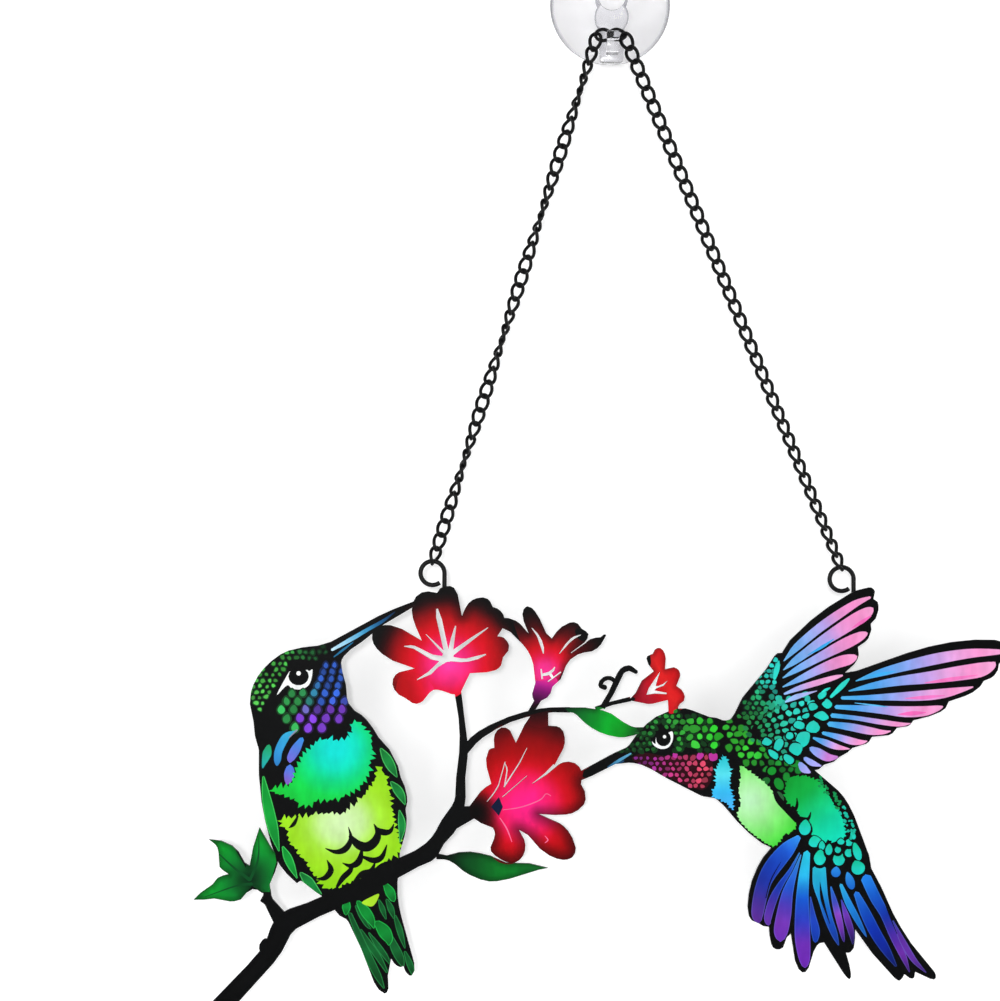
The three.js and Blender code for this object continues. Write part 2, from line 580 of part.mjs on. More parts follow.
function suctionCup() {
  const neckFront = CUP_HEIGHT + NECK_LENGTH;
  const headFront = neckFront + HEAD_HEIGHT;
  const dome = CUP_DOME.map(([out, up]) => [
    NECK_RADIUS + (CUP_RADIUS - NECK_RADIUS) * out,
    CUP_RIM + (CUP_HEIGHT - CUP_RIM) * up,
  ]);
  const profile = [
    [0, headFront],
    [HEAD_RADIUS - HEAD_BEVEL, headFront],
    [HEAD_RADIUS, headFront - HEAD_BEVEL],
    [HEAD_RADIUS, neckFront + HEAD_FLARE],
    [NECK_RADIUS, neckFront],
    [NECK_RADIUS, CUP_HEIGHT],
    ...dome,
    [CUP_RADIUS, CUP_RIM],
    [CUP_RADIUS, 0],
    [CUP_POCKET_RADIUS, 0],
    [CUP_POCKET_RADIUS * POCKET_BEND[0], CUP_POCKET_DEPTH * POCKET_BEND[1]],
    [0, CUP_POCKET_DEPTH],
  ];
  const points = profile.map(([radius, front]) => new THREE.Vector2(radius, -front));
  return geometryOf(solidOf(new THREE.LatheGeometry(points, CUP_SIDES)));
}

// Hook: a ring on the cup's neck, a round plate, a leg and a peg with a low lip

const SIDEWAYS = new THREE.Matrix4().makeBasis(
  new THREE.Vector3(0, 1, 0),
  new THREE.Vector3(0, 0, 1),
  new THREE.Vector3(1, 0, 0),
);

function roundPlate(radius, drop, thickness) {
  const middle = (HOOK_BACK_Y + HOOK_FRONT_Y) / 2;
  return solidOf(new THREE.CylinderGeometry(radius, radius, thickness, HOOK_SIDES).translate(0, middle, -drop));
}

function hookLeg() {
  const half = HOOK_LEG_WIDTH / 2;
  const shape = new THREE.Shape();
  shape.moveTo(-half, -HOOK_DISC_DROP);
  shape.lineTo(-half, LEG_CORNER - HOOK_LEG_DROP);
  shape.lineTo(LEG_CORNER - half, -HOOK_LEG_DROP);
  shape.lineTo(half - LEG_CORNER, -HOOK_LEG_DROP);
  shape.lineTo(half, LEG_CORNER - HOOK_LEG_DROP);
  shape.lineTo(half, -HOOK_DISC_DROP);
  const slab = new THREE.ExtrudeGeometry(shape, { depth: HOOK_THICKNESS, bevelEnabled: false });
  return solidOf(slab.applyMatrix4(FRONT).translate(0, HOOK_BACK_Y, 0));
}

function hookPeg() {
  const lipBack = HOOK_FRONT_Y - CROOK_GAP;
  const lipFront = lipBack - LIP_THICKNESS;
  const top = -PEG_DROP;
  const bottom = top - PEG_HEIGHT;
  const tip = top + LIP_HEIGHT;
  const shape = new THREE.Shape();
  shape.moveTo(HOOK_BACK_Y - HOOK_THICKNESS / 2, top);
  shape.lineTo(HOOK_BACK_Y - HOOK_THICKNESS / 2, bottom);
  shape.lineTo(lipBack, bottom);
  shape.quadraticCurveTo(lipFront, bottom, lipFront, top);
  shape.lineTo(lipFront + LIP_TAPER, tip);
  shape.lineTo(lipBack - LIP_TAPER, tip);
  shape.lineTo(lipBack, top + CROOK_FILLET);
  shape.quadraticCurveTo(lipBack, top, lipBack + CROOK_FILLET, top);
  const bar = new THREE.ExtrudeGeometry(shape, { depth: PEG_WIDTH, bevelEnabled: false, curveSegments: CROOK_STEPS });
  return solidOf(bar.applyMatrix4(SIDEWAYS).translate(-PEG_WIDTH / 2, 0, 0));
}

function cupHook() {
  const holeRadius = NECK_RADIUS + FIT_GAP;
  const ring = roundPlate(holeRadius + HOOK_RING_WALL, 0, HOOK_THICKNESS);
  const lowerDisc = roundPlate(HOOK_DISC_RADIUS, HOOK_DISC_DROP, HOOK_THICKNESS);
  const hole = roundPlate(holeRadius, 0, HOOK_THICKNESS + 2 * FIT_GAP);
  return geometryOf(joined([ring, lowerDisc, hookLeg(), hookPeg()]).subtract(hole));
}

// The object: each piece is a named mesh at its place

const blackEnamel = new THREE.MeshStandardMaterial({ color: 0x0b0c0e, roughness: 0.35, metalness: 0.3 });
const blackSteel = new THREE.MeshStandardMaterial({ color: 0x0a0a0b, roughness: 0.4, metalness: 0.6 });
const clearVinyl = new THREE.MeshStandardMaterial({
  color: 0xf2f4f6, roughness: 0.1, metalness: 0, transparent: true, opacity: 0.35,
});

const ornament = new THREE.Group();

function addPiece(name, geometry, material, place = new THREE.Vector3()) {
  const mesh = new THREE.Mesh(geometry, material);
  mesh.name = name;
  mesh.position.copy(place);
  ornament.add(mesh);
}

function eyePlace(foot) {
  return eyeCentre(foot).add(new THREE.Vector3(EYE_RADIUS, 0, 0));
}

addPiece('bird_sheet', cutSheet(), blackEnamel, new THREE.Vector3(SHEET_SIDE, SHEET_BACK_Y, -SHEET_DROP));
addPiece('eye_left', wireEye(), blackSteel, eyePlace(LEFT_EYE_FOOT));
addPiece('eye_right', wireEye(), blackSteel, eyePlace(RIGHT_EYE_FOOT));
addPiece('chain_left', chainRun(-1, LEFT_EYE_FOOT, LEFT_RUN_TURNS), blackSteel);
addPiece('chain_right', chainRun(1, RIGHT_EYE_FOOT, 0), blackSteel);
addPiece('suction_cup', suctionCup(), clearVinyl);
addPiece('cup_hook', cupHook(), clearVinyl);

export default ornament;
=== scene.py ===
# %% [markdown]
# # A painted metal suncatcher
#
# This ornament is one thin iron sheet, cut to the outline of two hummingbirds at their flowers and
# painted with bright enamel. It hangs on a black curb chain from a clear suction cup. The packed
# model gives every piece its place and size. This script gives each piece its fine shape and finish.

import math
import random

import bmesh
import bpy
import numpy as np
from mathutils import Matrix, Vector
from mathutils.geometry import delaunay_2d_cdt
from mathutils.kdtree import KDTree


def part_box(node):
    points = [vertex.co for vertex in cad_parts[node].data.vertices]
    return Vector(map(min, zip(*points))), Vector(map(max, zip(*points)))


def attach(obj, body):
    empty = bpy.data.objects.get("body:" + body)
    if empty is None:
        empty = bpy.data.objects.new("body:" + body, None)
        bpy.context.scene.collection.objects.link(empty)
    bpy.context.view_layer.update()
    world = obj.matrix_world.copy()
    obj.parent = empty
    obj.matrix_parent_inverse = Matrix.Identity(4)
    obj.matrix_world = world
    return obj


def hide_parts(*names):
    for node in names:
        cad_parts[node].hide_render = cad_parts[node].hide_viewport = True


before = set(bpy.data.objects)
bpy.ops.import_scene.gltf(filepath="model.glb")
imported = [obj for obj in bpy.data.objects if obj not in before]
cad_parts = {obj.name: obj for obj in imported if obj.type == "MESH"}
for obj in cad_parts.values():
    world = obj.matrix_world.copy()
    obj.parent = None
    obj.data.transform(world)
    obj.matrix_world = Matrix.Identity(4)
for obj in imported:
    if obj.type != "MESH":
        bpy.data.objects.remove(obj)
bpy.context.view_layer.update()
MM = 0.001
print("pieces of the packed model:", sorted(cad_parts))

# %% [markdown]
# ## The camera
#
# The camera looks straight at the front of the sheet. The front is the side that looks along -Y, so
# the camera stands on the -Y side and looks along +Y. Its lens follows from how much of the sheet's
# plane has to fit across the picture.

# %% Camera
sheet_low, sheet_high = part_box("bird_sheet")
FRONT_Y = sheet_low.y
BACK_Y = sheet_high.y

CAMERA_DISTANCE = 650 * MM
FRAME_WIDTH = 333.33 * MM
CAMERA_X = -37.5 * MM
CAMERA_Z = -168.7 * MM

camera_data = bpy.data.cameras.new("camera")
camera_data.sensor_fit = "HORIZONTAL"
camera_data.lens = camera_data.sensor_width * CAMERA_DISTANCE / FRAME_WIDTH
camera = bpy.data.objects.new("camera", camera_data)
bpy.context.scene.collection.objects.link(camera)
camera.location = (CAMERA_X, FRONT_Y - CAMERA_DISTANCE, CAMERA_Z)
camera.rotation_euler = (math.radians(90), 0, 0)
bpy.context.scene.camera = camera
print("lens", round(camera_data.lens, 1), "mm")

# %% [markdown]
# ## Node groups for the finishes
#
# Paint, coated steel and clear plastic all share one thing: their colour and gloss are never quite
# even. One node group makes that unevenness, and each material places it with its own values. The
# group gives back a colour, a roughness and a height. The shader itself stays in the material.

# %% Helpers for node trees


def add_socket(group, name, kind, way, value=None):
    socket = group.interface.new_socket(name=name, in_out=way, socket_type=kind)
    if value is not None:
        socket.default_value = value
    return socket


def link_nodes(tree, *pairs):
    for output, target in pairs:
        tree.links.new(output, target)


def math_node(tree, operation, first, second):
    node = tree.nodes.new("ShaderNodeMath")
    node.operation = operation
    for place, value in enumerate((first, second)):
        if isinstance(value, (int, float)):
            node.inputs[place].default_value = value
        else:
            tree.links.new(value, node.inputs[place])
    return node.outputs[0]


print("helpers for node trees:", [f.__name__ for f in (add_socket, link_nodes, math_node)])

# %% [markdown]
# Paint that is brushed or baked on is a little cloudy and streaky, and it has a fine grain. An image
# could carry all that, but noise follows the object at any size and needs no file. One noise makes
# the clouds, a stretched one makes the streaks, and a fine one gives the grain's height.

# %% The group that makes a surface uneven
CLOUD_DETAIL = 3.0
FINE_DETAIL = 2.0
NOISE_MIDDLE = 0.5
STREAK_STRETCH = (2.6, 1.0, 0.8)
STREAK_TILT = math.radians(25)


def uneven_finish_group():
    group = bpy.data.node_groups.new("uneven_finish", "ShaderNodeTree")
    add_socket(group, "Color", "NodeSocketColor", "INPUT", (0.5, 0.5, 0.5, 1))
    add_socket(group, "Cloud Scale", "NodeSocketFloat", "INPUT", 60.0)
    add_socket(group, "Cloud Contrast", "NodeSocketFloat", "INPUT", 0.15)
    add_socket(group, "Streak Contrast", "NodeSocketFloat", "INPUT", 0.0)
    add_socket(group, "Grain Scale", "NodeSocketFloat", "INPUT", 900.0)
    add_socket(group, "Roughness", "NodeSocketFloat", "INPUT", 0.35)
    add_socket(group, "Roughness Spread", "NodeSocketFloat", "INPUT", 0.1)
    add_socket(group, "Color", "NodeSocketColor", "OUTPUT")
    add_socket(group, "Roughness", "NodeSocketFloat", "OUTPUT")
    add_socket(group, "Height", "NodeSocketFloat", "OUTPUT")
    given = group.nodes.new("NodeGroupInput")
    result = group.nodes.new("NodeGroupOutput")
    place = group.nodes.new("ShaderNodeTexCoord").outputs["Object"]
    cloud = group.nodes.new("ShaderNodeTexNoise")
    cloud.inputs["Detail"].default_value = CLOUD_DETAIL
    grain = group.nodes.new("ShaderNodeTexNoise")
    grain.inputs["Detail"].default_value = FINE_DETAIL
    link_nodes(
        group,
        (place, cloud.inputs["Vector"]),
        (place, grain.inputs["Vector"]),
        (given.outputs["Cloud Scale"], cloud.inputs["Scale"]),
        (given.outputs["Grain Scale"], grain.inputs["Scale"]),
    )
    stretch = group.nodes.new("ShaderNodeMapping")
    stretch.inputs["Scale"].default_value = STREAK_STRETCH
    stretch.inputs["Rotation"].default_value = (0, STREAK_TILT, 0)
    streak = group.nodes.new("ShaderNodeTexNoise")
    streak.inputs["Detail"].default_value = FINE_DETAIL
    link_nodes(
        group,
        (place, stretch.inputs["Vector"]),
        (stretch.outputs["Vector"], streak.inputs["Vector"]),
        (given.outputs["Cloud Scale"], streak.inputs["Scale"]),
    )
    swing = math_node(group, "SUBTRACT", cloud.outputs["Fac"], NOISE_MIDDLE)
    cloud_tone = math_node(group, "MULTIPLY", swing, given.outputs["Cloud Contrast"])
    streak_swing = math_node(group, "SUBTRACT", streak.outputs["Fac"], NOISE_MIDDLE)
    streak_tone = math_node(group, "MULTIPLY", streak_swing, given.outputs["Streak Contrast"])
    both_tones = math_node(group, "ADD", cloud_tone, streak_tone)
    tint = group.nodes.new("ShaderNodeHueSaturation")
    link_nodes(
        group,
        (math_node(group, "ADD", both_tones, 1.0), tint.inputs["Value"]),
        (given.outputs["Color"], tint.inputs["Color"]),
        (tint.outputs["Color"], result.inputs["Color"]),
    )
    spread = math_node(group, "MULTIPLY", swing, given.outputs["Roughness Spread"])
    link_nodes(
        group,
        (math_node(group, "ADD", spread, given.outputs["Roughness"]), result.inputs["Roughness"]),
        (grain.outputs["Fac"], result.inputs["Height"]),
    )
    return group


uneven_finish = uneven_finish_group()
print("node group sockets:", len(uneven_finish.interface.items_tree))

# %% [markdown]
# Clear moulded plastic looks darkest where its surface turns away at a rim, from the way it bends
# light. A second node group gives a mask that rises from 0 at an inner radius to 1 at an outer one,
# and it can be weaker above and below than at the sides. The cup and its hook both use it to paint
# that shade into their colour at the rims, as painted shade.

# %% The group that marks a round rim for painted shade
LEAST_RADIUS = 0.0001


def painted_rim_shade_group():
    group = bpy.data.node_groups.new("painted_rim_shade", "ShaderNodeTree")
    add_socket(group, "Centre Height", "NodeSocketFloat", "INPUT", 0.0)
    add_socket(group, "Inner Radius", "NodeSocketFloat", "INPUT", 0.018)
    add_socket(group, "Outer Radius", "NodeSocketFloat", "INPUT", 0.020)
    add_socket(group, "Side Bias", "NodeSocketFloat", "INPUT", 1.0)
    add_socket(group, "Mask", "NodeSocketFloat", "OUTPUT")
    given = group.nodes.new("NodeGroupInput")
    result = group.nodes.new("NodeGroupOutput")
    split = group.nodes.new("ShaderNodeSeparateXYZ")
    group.links.new(group.nodes.new("ShaderNodeTexCoord").outputs["Object"], split.inputs[0])
    height = math_node(group, "SUBTRACT", split.outputs["Z"], given.outputs["Centre Height"])
    square_x = math_node(group, "POWER", math_node(group, "ABSOLUTE", split.outputs["X"], 0.0), 2.0)
    square_z = math_node(group, "POWER", math_node(group, "ABSOLUTE", height, 0.0), 2.0)
    radius = math_node(group, "SQRT", math_node(group, "ADD", square_x, square_z), 0.0)
    band = group.nodes.new("ShaderNodeMapRange")
    band.interpolation_type = "SMOOTHSTEP"
    link_nodes(
        group,
        (radius, band.inputs["Value"]),
        (given.outputs["Inner Radius"], band.inputs["From Min"]),
        (given.outputs["Outer Radius"], band.inputs["From Max"]),
    )
    width = math_node(group, "MAXIMUM", radius, LEAST_RADIUS)
    sideways = math_node(group, "DIVIDE", math_node(group, "ABSOLUTE", split.outputs["X"], 0.0), width)
    biased = math_node(group, "POWER", sideways, given.outputs["Side Bias"])
    mask = math_node(group, "MULTIPLY", band.outputs["Result"], biased)
    group.links.new(mask, result.inputs["Mask"])
    return group


painted_rim_shade = painted_rim_shade_group()
print("rim group sockets:", len(painted_rim_shade.interface.items_tree))

# %% [markdown]
# ## The finishes
#
# Every finish here is a Principled shader with the uneven group in front of it. A helper builds such
# a material, and each finish then gives its own values by name. The colour comes from a plain value
# or from an attribute that the mesh carries.

# %% A material with an uneven finish
RELIEF_DEPTH = 0.05 * MM


def finish_material(name, color=None, attribute=None, specular=0.5, bump=0.0, **unevenness):
    material = bpy.data.materials.new(name)
    material.use_nodes = True
    tree = material.node_tree
    shader = tree.nodes["Principled BSDF"]
    shader.inputs["Specular IOR Level"].default_value = specular
    uneven = tree.nodes.new("ShaderNodeGroup")
    uneven.node_tree = uneven_finish
    for socket, value in unevenness.items():
        uneven.inputs[socket.replace("_", " ").title()].default_value = value
    if attribute:
        paint = tree.nodes.new("ShaderNodeAttribute")
        paint.attribute_name = attribute
        tree.links.new(paint.outputs["Color"], uneven.inputs["Color"])
    else:
        uneven.inputs["Color"].default_value = (*color, 1)
    link_nodes(
        tree,
        (uneven.outputs["Color"], shader.inputs["Base Color"]),
        (uneven.outputs["Roughness"], shader.inputs["Roughness"]),
    )
    if bump:
        relief = tree.nodes.new("ShaderNodeBump")
        relief.inputs["Strength"].default_value = bump
        relief.inputs["Distance"].default_value = RELIEF_DEPTH
        link_nodes(
            tree,
            (uneven.outputs["Height"], relief.inputs["Height"]),
            (relief.outputs["Normal"], shader.inputs["Normal"]),
        )
    return material


settings = [item.name for item in uneven_finish.interface.items_tree if item.in_out == "INPUT"]
print("what a finish can set:", settings)

# %% [markdown]
# The sheet's enamel is opaque and shows the painted colours, which are kept on the mesh as a colour
# attribute. Its back and rim, and the coat on the chain and the wire eyes, are plain black. The black
# is not quite zero, because real black paint still gives back a little light.

# %% Enamel and coated steel
enamel = finish_material(
    "enamel", attribute="paint", specular=0.06, bump=0.15,
    cloud_scale=130.0, cloud_contrast=0.45, streak_contrast=0.35,
    grain_scale=700.0, roughness=0.42, roughness_spread=0.15,
)
black_enamel = finish_material(
    "black_enamel", color=(0.002, 0.0022, 0.0025), specular=0.1, bump=0.2,
    cloud_scale=60.0, cloud_contrast=0.6, grain_scale=900.0, roughness=0.4, roughness_spread=0.2,
)
black_steel = finish_material(
    "black_steel", color=(0.003, 0.003, 0.0034), specular=0.16, bump=0.3,
    cloud_scale=350.0, cloud_contrast=0.8, grain_scale=2500.0, roughness=0.38, roughness_spread=0.25,
)
print("opaque finishes:", enamel.name, black_enamel.name, black_steel.name)

# %% [markdown]
# The cup is soft clear vinyl and its hook is a harder clear plastic, so both let light through. A
# plain transmission of 1 makes them clear, and the index of refraction bends what lies behind. The
# rim mask then paints in, as colour, the darker shade that a real rim shows from the way it bends
# light, which thin geometry alone would miss.

# %% Clear vinyl and clear plastic
clear_vinyl = finish_material(
    "clear_vinyl", color=(0.965, 0.96, 0.975), specular=0.5, bump=0.1,
    cloud_scale=90.0, cloud_contrast=0.03, grain_scale=500.0, roughness=0.08, roughness_spread=0.08,
)
clear_plastic = finish_material(
    "clear_plastic", color=(0.94, 0.94, 0.96), specular=0.5, bump=0.1,
    cloud_scale=120.0, cloud_contrast=0.05, grain_scale=600.0, roughness=0.12, roughness_spread=0.1,
)


def paint_rim_shade(material, dark, centre_height, inner, outer, side_bias):
    """Mixes painted shade, a darker tone, into a clear material's colour where the rim mask is."""
    tree = material.node_tree
    shader = tree.nodes["Principled BSDF"]
    rim = tree.nodes.new("ShaderNodeGroup")
    rim.node_tree = painted_rim_shade
    rim.inputs["Centre Height"].default_value = centre_height
    rim.inputs["Inner Radius"].default_value = inner
    rim.inputs["Outer Radius"].default_value = outer
    rim.inputs["Side Bias"].default_value = side_bias
    blend = tree.nodes.new("ShaderNodeMix")
    blend.data_type = "RGBA"
    before = shader.inputs["Base Color"].links[0].from_socket
    colors = [socket for socket in blend.inputs if socket.type == "RGBA"]
    colors[1].default_value = (*dark, 1)
    mixed_color = [socket for socket in blend.outputs if socket.type == "RGBA"][0]
    link_nodes(
        tree,
        (rim.outputs["Mask"], blend.inputs["Factor"]),
        (before, colors[0]),
        (mixed_color, shader.inputs["Base Color"]),
    )


# Painted shade: a darker tone at the cup's outer rim and round the hook's plate, for the dark rim that
# clear plastic shows where it bends the light.
paint_rim_shade(
    clear_vinyl, dark=(0.30, 0.30, 0.33), centre_height=0.0,
    inner=18.6 * MM, outer=20.3 * MM, side_bias=2.2,
)
paint_rim_shade(
    clear_plastic, dark=(0.45, 0.45, 0.48), centre_height=-6.3 * MM,
    inner=5.0 * MM, outer=5.65 * MM, side_bias=0.8,
)
VINYL_IOR = 1.4
HARD_PLASTIC_IOR = 1.47
for clear, ior in ((clear_vinyl, VINYL_IOR), (clear_plastic, HARD_PLASTIC_IOR)):
    clear_shader = clear.node_tree.nodes["Principled BSDF"]
    clear_shader.inputs["Transmission Weight"].default_value = 1.0
    clear_shader.inputs["IOR"].default_value = ior
print("finishes:", [m.name for m in bpy.data.materials])

# %% [markdown]
# ## Drawing on the sheet
#
# The picture is made of small areas of colour with black between them, as in stained glass. Each
# area is an outline on a squared drawing grid that is laid over the sheet. Curves are drawn through
# a few stations with a Catmull-Rom spline, which passes through every station. In the code, a is a
# place across the grid and d is a place down it.

# %% The drawing grid
GRID_LEFT = 193.5
GRID_RIGHT = 1008.3
GRID_TOP = 586.1
grid_step = (sheet_high.x - sheet_low.x) / (GRID_RIGHT - GRID_LEFT)


def on_sheet(across, down):
    """A place on the drawing grid as millimetres across and up in the row frame."""
    x = sheet_low.x + (across - GRID_LEFT) * grid_step
    z = sheet_high.z - (down - GRID_TOP) * grid_step
    return Vector((x / MM, z / MM))


def to_grid(x, z):
    """The way back, from millimetres in the row frame to the drawing grid."""
    return Vector((
        (x * MM - sheet_low.x) / grid_step + GRID_LEFT,
        (sheet_high.z - z * MM) / grid_step + GRID_TOP,
    ))


print("one grid step is", round(grid_step / MM, 4), "mm")

# %% [markdown]
# The sheet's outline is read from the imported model's front face, so the painted sheet ends exactly
# where the cut metal does. A search tree of places along the rim tells how far a place is from it,
# because the enamel of the petals darkens towards their rims.

# %% Outline of the cut metal
FACES_FRONT = -0.9
RIM_STEP = 0.5


def front_outlines(node):
    """The closed outlines of a node's front face, as places in millimetres, largest first."""
    mesh = node.data
    place = {v.index: (round(v.co.x / MM, 4), round(v.co.z / MM, 4)) for v in mesh.vertices}
    edges = {}
    for face in mesh.polygons:
        if face.normal.y < FACES_FRONT:
            corners = [place[v] for v in face.vertices]
            for i, corner in enumerate(corners):
                edges[(corners[i - 1], corner)] = True
    onward = {a: b for a, b in edges if (b, a) not in edges}
    loops = []
    while onward:
        start = next(iter(onward))
        loop, corner = [], start
        while corner in onward:
            loop.append(corner)
            corner = onward.pop(corner)
        loops.append(loop)
    return sorted(loops, key=lambda loop: -abs(area_of(loop)))


def area_of(loop):
    """The area inside a loop, which is negative where the loop runs clockwise."""
    return sum(a[0] * b[1] - b[0] * a[1] for a, b in zip(loop, loop[1:] + loop[:1])) / 2


def counterclockwise(loop):
    return loop if area_of(loop) > 0 else loop[::-1]


outlines = front_outlines(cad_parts["bird_sheet"])
borders_of_sheet = [[Vector(corner) for corner in loop] for loop in outlines]
rim_places = []
for start, end in zip(borders_of_sheet[0], borders_of_sheet[0][1:] + borders_of_sheet[0][:1]):
    steps = max(1, int((end - start).length / RIM_STEP))
    rim_places += [start.lerp(end, step / steps) for step in range(steps)]
rim_tree = KDTree(len(rim_places))
for i, place in enumerate(rim_places):
    rim_tree.insert((*to_grid(*place), 0), i)
rim_tree.balance()
print("outlines:", len(outlines), "points:", sum(len(o) for o in outlines))

# %% [markdown]
# A petal or a feather has no straight edge. Three shapes cover nearly all of them: a rounded area
# through its stations, a feather that is a spine with a half width at each station, and an ellipse.
# Drawing them by rule needs far fewer numbers than tracing each edge.

# %% Curves on the grid
CURVE_STEPS = 5
LEAST_HALF_WIDTH = 0.15
END_REACH = 0.8


def spline_point(before, start, end, after, share):
    """A point of a Catmull-Rom spline, from start at share 0 to end at share 1."""
    square = share * share
    cube = square * share
    return 0.5 * (
        2 * start
        + (end - before) * share
        + (2 * before - 5 * start + 4 * end - after) * square
        + (3 * start - before - 3 * end + after) * cube
    )


def smooth_line(stations, closed=False, steps=CURVE_STEPS):
    points = [Vector(s) for s in stations]
    count = len(points)
    spans = count if closed else count - 1
    line = []
    for i in range(spans):
        around = [i - 1, i, i + 1, i + 2]
        if closed:
            around = [k % count for k in around]
        else:
            around = [min(max(k, 0), count - 1) for k in around]
        corners = [points[k] for k in around]
        line += [spline_point(*corners, step / steps) for step in range(steps)]
    if not closed:
        line.append(points[-1])
    return line


def rounded(*stations):
    """A closed area with a smooth edge through the stations."""
    return smooth_line([(a, d, 0) for a, d in stations], closed=True)


def feather(*stations):
    """A long area along a smooth spine. A station is its place and the half width there."""
    line = smooth_line(stations)
    left, right = [], []
    for i, point in enumerate(line):
        ahead = line[min(i + 1, len(line) - 1)] - line[max(i - 1, 0)]
        side = Vector((-ahead.y, ahead.x, 0)).normalized() * max(point.z, LEAST_HALF_WIDTH)
        middle = Vector((point.x, point.y, 0))
        left.append(middle + side)
        right.append(middle - side)
    start = line[0] - (line[1] - line[0]).normalized() * line[0].z * END_REACH
    tip = line[-1] + (line[-1] - line[-2]).normalized() * line[-1].z * END_REACH
    return [start, *left, tip, *reversed(right)]


def tilted(centre, a, d, tilt):
    """The place at a across and d down from a centre, when the shape is turned by tilt."""
    return Vector((
        centre[0] + a * math.cos(tilt) - d * math.sin(tilt),
        centre[1] + a * math.sin(tilt) + d * math.cos(tilt),
        0,
    ))


def ring_of(centre, wide, high, count=14, tilt=0.0):
    """An ellipse, as count corners."""
    turns = [2 * math.pi * i / count for i in range(count)]
    return [tilted(centre, wide / 2 * math.cos(t), high / 2 * math.sin(t), tilt) for t in turns]


print("a feather through three stations has", len(feather((0, 0, 1), (5, 1, 2), (9, 3, 1))), "corners")

# %% [markdown]
# ## Feather edges and scales
#
# Two patterns come back all over the picture. A breast patch ends in ragged little tufts, and a head
# is covered in small scales like pebbles. Both are worked out by a function from a size and a seed,
# so that the pattern is the same each time the script runs.

# %% Ragged edges and scales
NOTCH_DEPTHS = (0.0, 0.6)
TUFT_LEANS = (0.45, 1.0)
TUFT_HEIGHTS = (0.15, 0.6, 0.9, 1.3)
PEBBLE_CORNERS = (5, 6, 6, 7)
CORNER_SHIFTS = (-0.25, 0.25)
CORNER_REACHES = (0.78, 1.2)
DROP_CORNERS = (
    (0, -0.56), (0.36, -0.26), (0.48, 0.1), (0.3, 0.42), (0, 0.52), (-0.3, 0.42), (-0.48, 0.1),
    (-0.36, -0.26),
)
SCALE_STEPS = 2


def spaced(points, gap):
    """Places at about equal distances along a closed line."""
    laid, left = [], 0.0
    for start, end in zip(points, points[1:] + points[:1]):
        length = (end - start).length
        at = left
        while at < length:
            laid.append(start.lerp(end, at / length))
            at += gap
        left = at - length
    return laid


def ragged(points, tooth, depth, seed):
    """The same area with pointed tufts along its whole edge."""
    dice = random.Random(seed)
    laid = spaced(points, tooth)
    edge = []
    for point, following in zip(laid, laid[1:] + laid[:1]):
        run = following - point
        side = Vector((run.y, -run.x, 0)).normalized()
        edge.append(point - side * depth * dice.uniform(*NOTCH_DEPTHS))
        tip = point + run * dice.uniform(*TUFT_LEANS)
        edge.append(tip + side * depth * dice.choice(TUFT_HEIGHTS))
    return edge


def pebble(centre, size, dice, stretch=1.0, tilt=0.0):
    """One small rounded scale, drawn through five to seven uneven corners."""
    count = dice.choice(PEBBLE_CORNERS)
    phase = dice.uniform(0, math.tau)
    corners = []
    for i in range(count):
        turn = phase + math.tau * (i + dice.uniform(*CORNER_SHIFTS)) / count
        reach = size / 2 * dice.uniform(*CORNER_REACHES)
        corners.append(tilted(centre, reach * math.cos(turn) * stretch, reach * math.sin(turn), tilt))
    return smooth_line(corners, closed=True, steps=SCALE_STEPS)


def drop_scale(centre, wide, high, tilt=0.0):
    """One scale like a fish's, with a point at its top and a round foot."""
    corners = [tilted(centre, a * wide, d * high, tilt) for a, d in DROP_CORNERS]
    return smooth_line(corners, closed=True, steps=SCALE_STEPS)


def inside(point, area):
    """Whether a point lies in an area, by counting the edges to its right."""
    hit = False
    for i, corner in enumerate(area):
        last = area[i - 1]
        if (corner.y > point[1]) != (last.y > point[1]):
            cross = (last.x - corner.x) * (point[1] - corner.y) / (last.y - corner.y) + corner.x
            if point[0] < cross:
                hit = not hit
    return hit


print("a ragged ring has", len(ragged(ring_of((0, 0), 40, 40), 5.0, 3.0, 1)), "corners")

# %% [markdown]
# ## Colours that run into each other
#
# Enamel colours of this kind are blended while wet. A colour here is a function of the place: it
# runs along a line, or outwards from a centre, through a few named shades.

# %% Colour runs


def shade(code):
    """A colour written as #rrggbb, as three shares of 1."""
    return Vector([int(code[i:i + 2], 16) / 255 for i in (1, 3, 5)])


def linear(color):
    """The same colour as amounts of light, which is what a colour attribute holds."""
    return [c / 12.92 if c <= 0.04045 else ((c + 0.055) / 1.055) ** 2.4 for c in color]


def mixed(stops, amount):
    """The shade at an amount, between the two stops beside it."""
    if amount <= stops[0][0]:
        return stops[0][1]
    for (low, first), (high, second) in zip(stops, stops[1:]):
        if amount <= high:
            return first.lerp(second, (amount - low) / (high - low))
    return stops[-1][1]


def along(start, end, *codes):
    """Shades at equal steps from start to end."""
    start, run = Vector(start), Vector(end) - Vector(start)
    stops = [(i / (len(codes) - 1), shade(code)) for i, code in enumerate(codes)]
    return lambda place: mixed(stops, (place - start).dot(run) / run.length_squared)


def outwards(centre, *stops, flat=1.0):
    """Shades at the given distances from a centre. flat over 1 squeezes the rings from above."""
    centre = Vector(centre)
    shades = [(distance, shade(code)) for distance, code in stops]
    return lambda place: mixed(shades, Vector((place.x - centre.x, (place.y - centre.y) * flat)).length)


def even(tone):
    """One tone at every place."""
    return lambda place: tone


def plain(code):
    return even(shade(code))


